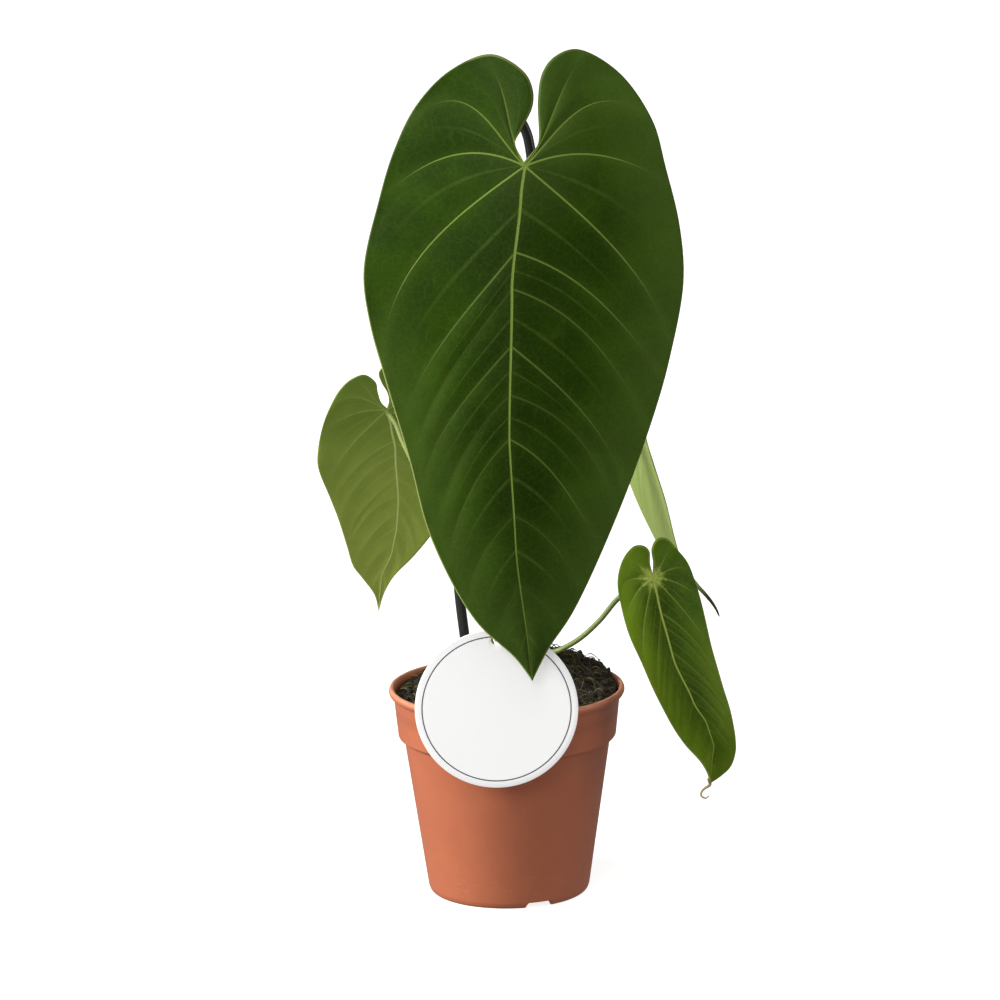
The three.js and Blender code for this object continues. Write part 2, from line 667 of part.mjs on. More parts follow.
function fibreSolid(random) {
  const turn = 2 * Math.PI * random();
  const distance = 14 + 34 * Math.sqrt(random());
  const heading = 2 * Math.PI * random();
  const [x, y] = [distance * Math.cos(turn), distance * Math.sin(turn)];
  const reach = 2.2 + 2.4 * random();
  const at = (step, rise) => {
    const [px, py] = [x + step * reach * Math.cos(heading), y + step * reach * Math.sin(heading)];
    return [px, py, soilHeight(px, py) + rise];
  };
  return solidOf(tube([at(0, -1.5), at(0.6, 0.8), at(1.5, 1.3), at(2.4, -1.2)], () => 0.55, 4, 4));
}

const HOOP_Y = 14;
const HOOP_LEFT_LEG = [
  [-16.5, HOOP_Y, 30], [-17.4, HOOP_Y, 80], [-19.3, HOOP_Y, 112], [-21.2, HOOP_Y, 130], [-23.4, HOOP_Y, 151],
];
const HOOP_RIGHT_LEG = [[17.3, HOOP_Y, 200], [16.8, HOOP_Y, 120], [16, HOOP_Y, 30]];
const HOOP_ROUTE = [
  ...HOOP_LEFT_LEG,
  [-26.5, HOOP_Y, 200], [-28.6, HOOP_Y, 270], [-29, HOOP_Y, 340], [-27, HOOP_Y, 376], [-19.5, HOOP_Y, 399],
  [-8, HOOP_Y, 408], [4.5, HOOP_Y, 403], [12.7, HOOP_Y, 391.3], [15.3, HOOP_Y, 381.5], [17.2, HOOP_Y, 350],
  [17.5, HOOP_Y, 290],
  ...HOOP_RIGHT_LEG,
];

function soilSolid() {
  const random = randomFrom(SOIL_SEED);
  let soil = soilBody();
  for (let i = 0; i < CLOD_COUNT; i++) soil = soil.add(clodSolid(random));
  for (let i = 0; i < FIBRE_COUNT; i++) soil = soil.add(fibreSolid(random));
  const crownRoute = [[CROWN_X, 0, CROWN_FOOT_HEIGHT - CLEARANCE], [CROWN_X, 0, CROWN_TOP_HEIGHT]];
  const crownHole = tube(crownRoute, () => CROWN_RADIUS + 0.5, 16, 2);
  soil = soil.subtract(solidOf(crownHole));
  for (const leg of [HOOP_LEFT_LEG, HOOP_RIGHT_LEG]) {
    soil = soil.subtract(solidOf(tube(leg, () => HOOP_RADIUS + CLEARANCE, 12, 8)));
  }
  return soil.decompose().reduce((largest, body) => (body.volume() > largest.volume() ? body : largest));
}

const SHEATH_DEPTH = 22;
const SHEATHS = [
  { degrees: 200, out: 5, height: 24 },
  { degrees: 320, out: 5.5, height: 18 },
  { degrees: 95, out: 5, height: 21 },
];

// Crown: the short upright stem with the dry sheaths of older leaves and a few root stubs, sunk in the mix
function crownSolid() {
  const rise = CROWN_TOP_HEIGHT - CROWN_FOOT_HEIGHT;
  const at = (share) => [CROWN_X, 0, CROWN_FOOT_HEIGHT + rise * share];
  const shape = (share) => CROWN_RADIUS * (share < 0.75 ? 0.82 + 0.24 * share : 1 - 1.6 * (share - 0.75));
  let crown = solidOf(tube([at(0), at(0.5), at(1)], shape, 14, 8));
  for (const sheath of SHEATHS) {
    const turn = (sheath.degrees * Math.PI) / 180;
    const beside = (r, z) => [CROWN_X + r * Math.cos(turn), r * Math.sin(turn), z];
    const foot = CROWN_TOP_HEIGHT - SHEATH_DEPTH;
    const route = [
      beside(sheath.out - 2, foot), beside(sheath.out, foot + sheath.height / 2),
      beside(sheath.out + 1.5, foot + sheath.height),
    ];
    crown = crown.add(solidOf(tube(route, taper(2.6, 0.5), 6, 6)));
  }
  for (const stalk of Object.values(STALKS)) crown = crown.subtract(stalkTube(stalk, CLEARANCE).solid);
  return crown;
}

// Label: a thin upright disc standing against the rim, with one punched hole near its top
function labelSolid() {
  const outline = new THREE.Shape();
  outline.absarc(0, 0, LABEL_RADIUS, 0, 2 * Math.PI);
  const hole = new THREE.Path();
  hole.absarc(0, LABEL_HOLE_HEIGHT, LABEL_HOLE_RADIUS, 0, 2 * Math.PI, true);
  outline.holes.push(hole);
  const options = { depth: LABEL_THICKNESS, bevelEnabled: false, curveSegments: 30 };
  const disc = new THREE.ExtrudeGeometry(outline, options);
  disc.rotateX(Math.PI / 2);
  disc.translate(LABEL_CENTRE[0], -RIM_RADIUS - CLEARANCE, LABEL_CENTRE[1]);
  return solidOf(disc);
}

// Tie: one loop of stiff coated wire through the label's hole, back round the tall leaf's stalk and over the
// label's top edge
function tieGeometry() {
  const [x, hole] = [LABEL_CENTRE[0], LABEL_CENTRE[1] + LABEL_HOLE_HEIGHT];
  const edge = LABEL_CENTRE[1] + LABEL_RADIUS;
  const label = -RIM_RADIUS - CLEARANCE - LABEL_THICKNESS / 2;
  const route = [
    [x, label, hole - 0.2], [x, label + 2.2, hole], [x + 0.8, -40, hole + 0.6], [1.8, -4, TIE_HEIGHT - 0.4],
    [2.2, 4.4, TIE_HEIGHT], [6.7, 7.3, TIE_HEIGHT], [11.1, 4.6, TIE_HEIGHT], [10.8, -3.6, TIE_HEIGHT + 0.4],
    [x + 4, -42, hole + 5.4], [x, label + 2, edge + 1], [x, label, edge + 1.4], [x, label - 1.5, edge + 0.2],
    [x, label - 1.6, hole + 2.2], [x, label - 1.3, hole + 0.4],
  ];
  const loop = new THREE.CatmullRomCurve3(route.map((p) => vec(...p)), true, "centripetal");
  return new THREE.TubeGeometry(loop, 48, TIE_RADIUS, 6, true);
}

function rightBladeSolid() {
  const axes = bladeAxes(RIGHT_LEAF);
  const route = DRY_TIP.map(([across, down]) => {
    const height = bladeHeight(RIGHT_LEAF, across, Math.min(down, RIGHT_LEAF.length));
    return placeOnBlade(axes, across, down, height).toArray();
  });
  const blade = solidOf(bladeGeometry(RIGHT_LEAF));
  return blade.add(solidOf(tube(route, taper(0.9, 0.45), 6, 14)));
}

const colour = (hex, roughness) => new THREE.MeshStandardMaterial({ color: hex, roughness, metalness: 0 });
const TERRACOTTA = colour(0xb5694a, 0.5);
const MIX = colour(0x33271a, 1);
const GREEN = colour(0x2e4a0e, 0.42);
const UNDERSIDE = colour(0x6b7b34, 0.55);
const STALK = colour(0x93a64a, 0.5);
const CROWN = colour(0x6d6a35, 0.7);
const BLACK = colour(0x1d1f1d, 0.35);
const WHITE = colour(0xf2f2f2, 0.6);
const STRING = colour(0xc9c7a0, 0.7);

const plant = new THREE.Group();
function addPiece(name, geometry, material) {
  const mesh = new THREE.Mesh(geometry, material.clone());
  mesh.name = name;
  plant.add(mesh);
}

addPiece("pot", geometryOf(potSolid()), TERRACOTTA);
addPiece("soil", geometryOf(soilSolid()), MIX);
addPiece("crown", geometryOf(crownSolid()), CROWN);
addPiece("support_hoop", tube(HOOP_ROUTE, () => HOOP_RADIUS, 8, 44), BLACK);
addPiece("label_disc", geometryOf(labelSolid()), WHITE);
addPiece("label_tie", tieGeometry(), STRING);
addPiece("front_leaf_blade", bladeGeometry(FRONT_LEAF), GREEN);
addPiece("front_leaf_petiole", geometryOf(stalkSolid(STALKS.front)), STALK);
addPiece("left_leaf_blade", bladeGeometry(LEFT_LEAF), UNDERSIDE);
addPiece("left_leaf_petiole", geometryOf(stalkSolid(STALKS.left)), STALK);
addPiece("back_leaf_blade", bladeGeometry(BACK_LEAF), UNDERSIDE);
addPiece("back_leaf_petiole", geometryOf(stalkSolid(STALKS.back)), STALK);
addPiece("right_leaf_blade", geometryOf(rightBladeSolid()), GREEN);
addPiece("right_leaf_petiole", geometryOf(stalkSolid(STALKS.right)), STALK);

export default plant;
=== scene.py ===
"""Looks of a potted anthurium: four veined leaves on stalks, crown, hoop, label and wire, growing mix, pot.

Sizes are in millimetres in this file and become metres when a mesh is made.
"""

import logging
import math
from dataclasses import dataclass, field
from enum import Enum

import bpy
import numpy as np
from mathutils import Matrix

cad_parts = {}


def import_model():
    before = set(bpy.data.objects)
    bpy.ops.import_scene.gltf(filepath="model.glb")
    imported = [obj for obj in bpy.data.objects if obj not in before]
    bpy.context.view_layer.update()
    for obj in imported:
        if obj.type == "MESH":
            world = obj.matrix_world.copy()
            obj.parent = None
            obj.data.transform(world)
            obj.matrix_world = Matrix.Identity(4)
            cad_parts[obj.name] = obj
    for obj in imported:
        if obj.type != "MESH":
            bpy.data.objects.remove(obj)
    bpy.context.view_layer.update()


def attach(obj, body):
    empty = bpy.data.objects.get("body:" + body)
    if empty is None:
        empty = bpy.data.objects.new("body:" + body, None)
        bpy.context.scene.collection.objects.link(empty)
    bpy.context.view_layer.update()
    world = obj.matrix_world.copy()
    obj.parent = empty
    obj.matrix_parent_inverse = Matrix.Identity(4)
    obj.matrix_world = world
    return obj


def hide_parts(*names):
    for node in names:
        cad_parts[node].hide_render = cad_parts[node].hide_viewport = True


LOG = logging.getLogger("anthurium")
MM = 0.001
WELD_STEPS = 1e4
DOME_BEND = (1.0, 0.9, 0.62, 0.28, 0.0)
FLAT_BEND = (1.0, 0.0)
FINER = 1.9
Array = np.ndarray
Pair = tuple[float, float]
Point = tuple[float, float, float]
Outline = tuple[Pair, ...]
Colour = tuple[float, float, float]
Material = bpy.types.Material
NodeTree = bpy.types.NodeTree
Piece = bpy.types.Object
Socket = bpy.types.NodeSocket


class Half(Enum):
    """The two halves of a blade, seen on its upper face."""

    LEFT = -1
    RIGHT = 1


@dataclass
class Surface:
    """A triangle surface: points, faces, and values that vary over it."""

    points: Array
    faces: Array
    values: dict[str, Array] = field(default_factory=dict)
    plane: Array | None = None


def grid_faces(rows: int, columns: int, close_rows: bool = False, close_columns: bool = False) -> Array:
    """Triangles of a grid of points, row after row.

    Each cell between neighbouring rows and columns becomes two triangles.

    Args:
        rows: Number of rows.
        columns: Number of points in a row.
        close_rows: Whether the last row joins the first.
        close_columns: Whether the last column joins the first.

    Returns:
        Corner numbers, one triangle a line.
    """
    r = np.arange(rows if close_rows else rows - 1)
    c = np.arange(columns if close_columns else columns - 1)
    r, c = np.meshgrid(r, c, indexing="ij")
    below, beside = (r + 1) % rows, (c + 1) % columns
    a, b = r * columns + c, r * columns + beside
    d, e = below * columns + c, below * columns + beside
    lower = np.stack([a, b, e], -1).reshape(-1, 3)
    upper = np.stack([a, e, d], -1).reshape(-1, 3)
    return np.concatenate([lower, upper])


def repeated_faces(one: Array, copies: int, size: int) -> Array:
    """Triangles of many copies of one form, whose points follow each other.

    Args:
        one: Triangles of the first copy.
        copies: Number of copies.
        size: Points in one copy.

    Returns:
        Corner numbers, one triangle a line.
    """
    return (one[None] + (np.arange(copies) * size)[:, None, None]).reshape(-1, 3)


def even_angles(count: int) -> Array:
    """Angles at even steps once round, in radians."""
    return 2 * math.pi * np.arange(count) / count


def weld(surface: Surface) -> Surface:
    """Joins points that round to the same tenth of a micrometre and drops the triangles that vanish.

    Args:
        surface: The surface to close.

    Returns:
        The same surface with shared points at its seams and poles.
    """
    keys = np.round(surface.points * WELD_STEPS).astype(np.int64)
    _, first, place = np.unique(keys, axis=0, return_index=True, return_inverse=True)
    faces = place.reshape(-1)[surface.faces]
    kept = (faces[:, 0] != faces[:, 1]) & (faces[:, 1] != faces[:, 2]) & (faces[:, 0] != faces[:, 2])
    values = {name: value[first] for name, value in surface.values.items()}
    plane = None if surface.plane is None else surface.plane[first]
    return Surface(surface.points[first], faces[kept], values, plane)


def joined(surfaces: list[Surface]) -> Surface:
    """Several surfaces as one, with their values side by side.

    Args:
        surfaces: Surfaces that carry the same values.

    Returns:
        One surface.
    """
    starts = np.cumsum([0] + [len(s.points) for s in surfaces[:-1]])
    points = np.concatenate([s.points for s in surfaces])
    faces = np.concatenate([s.faces + start for s, start in zip(surfaces, starts)])
    values = {name: np.concatenate([s.values[name] for s in surfaces]) for name in surfaces[0].values}
    plane = None if surfaces[0].plane is None else np.concatenate([s.plane for s in surfaces])
    return Surface(points, faces, values, plane)


def make_piece(name: str, surface: Surface, sharp_degrees: float | None = None) -> Piece:
    """Puts a surface into a new smooth-shaded mesh object at the origin.

    Args:
        name: Name of the piece.
        surface: Its surface in millimetres.
        sharp_degrees: Edges that turn by more than this stay sharp.

    Returns:
        The new object.
    """
    mesh = bpy.data.meshes.new(name)
    mesh.from_pydata((surface.points * MM).tolist(), [], surface.faces.tolist())
    for value_name, value in surface.values.items():
        layer = mesh.attributes.new(value_name, "FLOAT", "POINT")
        layer.data.foreach_set("value", value.astype(np.float32))
    if surface.plane is not None:
        layer = mesh.uv_layers.new(name="plane")
        layer.data.foreach_set("uv", surface.plane[surface.faces.ravel()].astype(np.float32).ravel())
    mesh.shade_smooth()
    if sharp_degrees is not None:
        mesh.set_sharp_from_angle(angle=math.radians(sharp_degrees))
    piece = bpy.data.objects.new(name, mesh)
    bpy.context.scene.collection.objects.link(piece)
    LOG.info("%s: %d triangles", name, len(surface.faces))
    return piece


def dress_piece(piece: Piece, material: Material) -> None:
    """Gives a piece its one material."""
    piece.data.materials.clear()
    piece.data.materials.append(material)


class SubAssembly:
    """What the plant's sub-assemblies share: each builds its pieces and dresses them."""

    def build(self) -> list[Piece]:
        """Makes the pieces; each sub-assembly has its own."""
        raise NotImplementedError

    def dress(self, *materials: Material) -> None:
        """Builds the pieces and gives each its one material.

        Args:
            materials: One for each piece, in the order of building.
        """
        for piece, material in zip(self.build(), materials, strict=True):
            dress_piece(piece, material)


def smooth_curve(points: Array | list | tuple, samples: int, closed: bool = False) -> Array:
    """A smooth curve through control points, sampled at even steps of its length.

    Centripetal Catmull-Rom: between two points runs the cubic whose end slopes come from the neighbours,
    weighted by the square roots of the distances.

    Args:
        points: Control points, one a line.
        samples: Number of samples.
        closed: Whether the curve runs back to its start.

    Returns:
        The samples, one a line.
    """
    control = np.array(points, float)
    if closed:
        around = np.concatenate([control[-1:], control, control[:2]])
        count = len(control)
    else:
        around = np.concatenate([[2 * control[0] - control[1]], control, [2 * control[-1] - control[-2]]])
        count = len(control) - 1
    place = np.linspace(0, count, max(400, 8 * samples))
    index = np.minimum(place.astype(int), count - 1)
    share = (place - index)[:, None]
    p0, p1, p2, p3 = (around[index + k] for k in range(4))
    d0, d1, d2 = (np.sqrt(np.linalg.norm(b - a, axis=1))[:, None] for a, b in ((p0, p1), (p1, p2), (p2, p3)))
    slope1 = ((p1 - p0) / d0 - (p2 - p0) / (d0 + d1) + (p2 - p1) / d1) * d1
    slope2 = ((p2 - p1) / d1 - (p3 - p1) / (d1 + d2) + (p3 - p2) / d2) * d1
    square, cube = share**2, share**3
    curve = p1 + slope1 * share + (3 * p2 - 3 * p1 - 2 * slope1 - slope2) * square
    curve += (2 * p1 - 2 * p2 + slope1 + slope2) * cube
    run = np.concatenate([[0], np.cumsum(np.linalg.norm(np.diff(curve, axis=0), axis=1))])
    steps = np.linspace(0, run[-1], samples, endpoint=not closed)
    return np.stack([np.interp(steps, run, curve[:, k]) for k in range(control.shape[1])], -1)


def along_curve(curve: Array, share: Array) -> Array:
    """Points at shares of the length of an evenly sampled curve.

    Args:
        curve: Evenly spaced samples.
        share: Shares from 0 to 1.

    Returns:
        One point for each share.
    """
    steps = np.linspace(0, 1, len(curve))
    return np.stack([np.interp(share, steps, curve[:, k]) for k in range(curve.shape[1])], -1)


def curve_frames(route: Array, closed: bool = False) -> tuple[Array, Array]:
    """Two side directions across a route that turn as little as they can.

    The first side direction starts square to the route, and at each step loses its part along the new
    tangent. On a closed route the twist that is left over is spread along it.

    Args:
        route: Points of the route.
        closed: Whether it is a loop.

    Returns:
        The two side directions at each point.
    """
    ahead = np.roll(route, -1, 0) - np.roll(route, 1, 0) if closed else np.gradient(route, axis=0)
    ahead /= np.linalg.norm(ahead, axis=1)[:, None]
    side = np.empty_like(ahead)
    current = np.array([0.0, 1.0, 0.0]) if abs(ahead[0, 1]) < 0.9 else np.array([1.0, 0.0, 0.0])
    for i, tangent in enumerate(ahead):
        current = current - tangent * (current @ tangent)
        current /= np.linalg.norm(current)
        side[i] = current
    if closed:
        last = side[-1] - ahead[0] * (side[-1] @ ahead[0])
        twist = math.atan2(np.cross(last, side[0]) @ ahead[0], last @ side[0])
        turn = twist * np.arange(len(route))[:, None] / len(route)
        side = side * np.cos(turn) + np.cross(ahead, side) * np.sin(turn)
    return side, np.cross(ahead, side)


def tube_surface(
    route: Array, radius: Array | float, sides: int, closed: bool = False, dome: bool = False
) -> Surface:
    """A round tube along a route, its ends closed to their middles.

    Each ring is the route's point plus the radius times the cosine and sine of the angle along the two
    side directions. A domed end draws in over a few more rings as a half ball.

    Args:
        route: Points of the route.
        radius: Radius, one for all or one for each point.
        sides: Points round the tube.
        closed: Whether the route is a loop.
        dome: Whether the ends are round.

    Returns:
        The closed surface with values "run" (share of the length) and "turn" (share of the way round).
    """
    radius = np.broadcast_to(np.asarray(radius, float), (len(route),)).copy()
    side, other = curve_frames(route, closed)
    run = np.linspace(0, 1, len(route))
    if not closed:
        ahead = np.gradient(route, axis=0)
        ahead /= np.linalg.norm(ahead, axis=1)[:, None]
        bend = np.array(DOME_BEND if dome else FLAT_BEND)
        out = np.sqrt(1 - bend**2) if dome else np.zeros(len(bend))
        first = route[0] - ahead[0] * (radius[0] * out[::-1])[:, None]
        last = route[-1] + ahead[-1] * (radius[-1] * out)[:, None]
        route = np.concatenate([first[:-1], route, last[1:]])
        radius = np.concatenate([(radius[0] * bend[::-1])[:-1], radius, (radius[-1] * bend)[1:]])
        more = len(bend) - 1
        side, other = (np.pad(v, ((more, more), (0, 0)), mode="edge") for v in (side, other))
        run = np.pad(run, (more, more), mode="edge")
    turn = even_angles(sides)
    ring = np.cos(turn)[None, :, None] * side[:, None] + np.sin(turn)[None, :, None] * other[:, None]
    points = route[:, None] + radius[:, None, None] * ring
    values = {"run": np.repeat(run, sides), "turn": np.tile(turn / (2 * math.pi), len(route))}
    faces = grid_faces(len(route), sides, close_rows=closed, close_columns=True)
    return weld(Surface(points.reshape(-1, 3), faces, values))


def turned_surface(profile: Array, segments: Array) -> Array:
    """Points of a turned form: the radius of each profile point carried round the upright axis.

    Args:
        profile: Radius and height, one a line.
        segments: Angles in radians.

    Returns:
        Points, profile point by angle.
    """
    radius, height = profile[:, :1], profile[:, 1:]
    level = np.broadcast_to(height, (len(profile), len(segments)))
    return np.stack([radius * np.cos(segments), radius * np.sin(segments), level], -1)


def softened(profile: Outline, reach: float, steps: int) -> Array:
    """An open profile with each inner corner rounded.

    A corner is replaced by the parabola from the point a little before it to the point a little after
    it, with the corner as its control point.

    Args:
        profile: Corners, as radius and height.
        reach: How far from the corner the rounding starts, at most a third of the side.
        steps: Steps in each rounding.

    Returns:
        The finer profile.
    """
    corner = np.array(profile, float)
    before, after = corner[:-2] - corner[1:-1], corner[2:] - corner[1:-1]
    size_before, size_after = np.linalg.norm(before, axis=1), np.linalg.norm(after, axis=1)
    start = corner[1:-1] + before * (np.minimum(reach, size_before / 3) / size_before)[:, None]
    end = corner[1:-1] + after * (np.minimum(reach, size_after / 3) / size_after)[:, None]
    share = np.linspace(0, 1, steps + 1)[None, :, None]
    bend = (1 - share) ** 2 * start[:, None] + 2 * share * (1 - share) * corner[1:-1, None]
    bend += share**2 * end[:, None]
    return np.concatenate([corner[:1], bend.reshape(-1, 2), corner[-1:]])


def wavy(x: Array, y: Array, seed: int, scale: float, layers: int = 5) -> Array:
    """Smooth seeded unevenness between about -1 and 1.

    A sum of sine products along turned directions, each layer 1.9 times finer and weaker.

    Args:
        x: Places across.
        y: Places along.
        seed: Seed of the directions and phases.
        scale: Size of the largest bumps, in millimetres.
        layers: Number of layers.

    Returns:
        One value for each place.
    """
    random = np.random.default_rng(seed)
    total = np.zeros(np.broadcast(x, y).shape)
    weight = 1.0
    for _ in range(layers):
        angle, first, second = random.uniform(0, 2 * math.pi, 3)
        across = (x * math.cos(angle) + y * math.sin(angle)) * 2 * math.pi / scale
        along = (y * math.cos(angle) - x * math.sin(angle)) * 2 * math.pi / scale
        total += weight * np.sin(across + first + np.sin(along)) * np.sin(along + second)
        weight /= FINER
        scale /= FINER
    return total / 2


# Venation of one half blade, from the vein beside the sinus to the tip: start on the midrib as a share of the
# blade's length, two bows as shares of the vein's length, end as a share of the outline's length, and how
# clearly the vein shows.
VEINS = {
    Half.LEFT: np.array([
        [0, -0.005, -0.057, 0.17, 0.5],
        [0, -0.2, -0.3, 0.29, 0.75],
        [0, -0.166, -0.145, 0.385, 0.95],
        [0, -0.104, -0.129, 0.585, 1.0],
        [0.164, -0.041, -0.058, 0.66, 0.5],
        [0.234, -0.041, -0.055, 0.7, 0.12],
        [0.344, -0.06, -0.078, 0.745, 0.4],
        [0.438, -0.063, -0.055, 0.79, 0.14],
        [0.523, -0.07, -0.062, 0.83, 0.35],
        [0.672, -0.08, -0.09, 0.885, 0.2],
        [0.809, -0.038, -0.03, 0.935, 0.1],
        [1, 0, 0, 1, 0.1],
    ]),
    Half.RIGHT: np.array([
        [0, 0.012, -0.02, 0.175, 0.6],
        [0, -0.164, -0.238, 0.285, 0.8],
        [0, -0.124, -0.116, 0.37, 0.95],
        [0, -0.057, -0.073, 0.565, 1.0],
        [0.164, -0.085, -0.07, 0.605, 0.75],
        [0.234, -0.1, -0.083, 0.665, 0.45],
        [0.344, -0.063, -0.074, 0.745, 0.7],
        [0.438, -0.125, -0.111, 0.775, 0.35],
        [0.523, -0.074, -0.05, 0.82, 0.85],
        [0.672, -0.081, -0.065, 0.875, 0.3],
        [0.809, -0.06, -0.07, 0.93, 0.15],
        [1, 0, 0, 1, 0.1],
    ]),
}
OUTLINE_SAMPLES = 2000
SINUS_ROWS = 14
SINUS_PACE = 1.3
QUILT_REACH = 0.92
HOOK_START = 0.74
HOOK_SPAN = 0.25
MARGIN_ROUNDING = 0.7
BLADE_THICKNESS = 0.8
PLANE_SCALE = 0.01


@dataclass(frozen=True)
class BladeShape:
    """Sizes of one blade. Outlines run from the sinus to the tip, as across and down from the sinus."""

    at: Point
    facing: float
    lean: float
    spin: float
    length: float
    bow: float
    arch: float
    fold: float
    fold_radius: float
    hook: float
    quilt: float
    wave: float
    waves: int
    left: Outline
    right: Outline
    midrib: Outline
    rows: tuple[int, ...]
    columns: int

    def axes(self) -> tuple[Array, Array, Array]:
        """Three directions square to each other, from the blade's facing, lean and spin.

        Returns:
            The directions across the blade, towards its tip and out of its upper face.
        """
        facing, lean, spin = (math.radians(v) for v in (self.facing, self.lean, self.spin))
        outward = np.array([math.cos(facing), math.sin(facing), 0.0])
        down = np.array([0.0, 0.0, -1.0])
        side = np.cross(outward, down)
        along = math.cos(lean) * down + math.sin(lean) * outward
        face = math.cos(lean) * outward - math.sin(lean) * down
        tipward = math.cos(spin) * along + math.sin(spin) * side
        across = math.cos(spin) * side - math.sin(spin) * along
        return across, tipward, face

    def rib(self, down: Array) -> Array:
        """The midrib's sideways place, half straight and half eased between its control points.

        Args:
            down: Distances down the blade.

        Returns:
            One place across for each distance.
        """
        control = np.array(self.midrib, float)
        down = np.asarray(down, float)
        index = np.clip(np.searchsorted(control[:, 1], down) - 1, 0, len(control) - 2)
        share = (down - control[index, 1]) / (control[index + 1, 1] - control[index, 1])
        share = np.clip(share, 0, 1)
        eased = 0.5 * share + 0.5 * share * share * (3 - 2 * share)
        place = control[index, 0] + (control[index + 1, 0] - control[index, 0]) * eased
        return np.where(down <= 0, 0.0, place)

    def height(self, across: Array, down: Array) -> Array:
        """How far the middle surface stands off the blade's own plane.

        An arch from the sinus to the tip, less a fold that grows with the distance from the midrib, plus
        a hook. Half of the hook grows with the fourth power of the share of the length, and half is an
        eased step over about the last quarter, which levels off at the very tip.

        Args:
            across: Places across.
            down: Places down the blade.

        Returns:
            Heights.
        """
        share = np.maximum(down / self.length, -0.3)
        from_rib = across - self.rib(down)
        bent = np.sqrt(from_rib**2 + self.fold_radius**2) - self.fold_radius
        late = np.clip((share - HOOK_START) / HOOK_SPAN, 0, 1)
        hooked = 0.5 * np.maximum(share, 0) ** 4 + 0.5 * late**2 * (3 - 2 * late)
        return 4 * self.arch * share * (1 - share) - self.fold * bent + self.hook * hooked

    def place(self, across: Array, down: Array, height: Array) -> Array:
        """Points in space: the blade's origin plus three measures along its axes.

        Args:
            across: Places across.
            down: Places down the blade.
            height: Heights off the blade's plane.

        Returns:
            One point for each place.
        """
        x, y, z = self.axes()
        spot = np.array(self.at) + np.asarray(across)[..., None] * x + np.asarray(down)[..., None] * y
        return spot + np.asarray(height)[..., None] * z


def distance_to_lines(points: Array, lines: list[Array]) -> Array:
    """Distance in the plane from each point to the nearest of several polylines.

    The distance to a piece of line is that to its nearest point, found by the clamped projection.

    Args:
        points: Points, one a line.
        lines: Polylines.

    Returns:
        One distance for each line and point.
    """
    found = []
    for line in lines:
        start, run = line[:-1], np.diff(line, axis=0)
        size = np.maximum((run**2).sum(1), 1e-9)
        gap = points[:, None] - start[None]
        share = np.clip((gap * run).sum(-1) / size, 0, 1)
        found.append(np.sqrt(((gap - share[..., None] * run) ** 2).sum(-1)).min(1))
    return np.stack(found)


@dataclass
class HalfGrid:
    """Rows of points over one half blade, on its own plane.

    Each row has a fractional vein number, its end as a share of the outline and its share of the way to
    the next vein. The first rows fill the corner at the sinus, whose margin is kept too.
    """

    across: Array
    down: Array
    number: Array
    edge: Array
    between: Array
    sinus: Array

    def flat(self) -> Array:
        """All points as across and down, one a line."""
        return np.stack([self.across.ravel(), self.down.ravel()], 1)


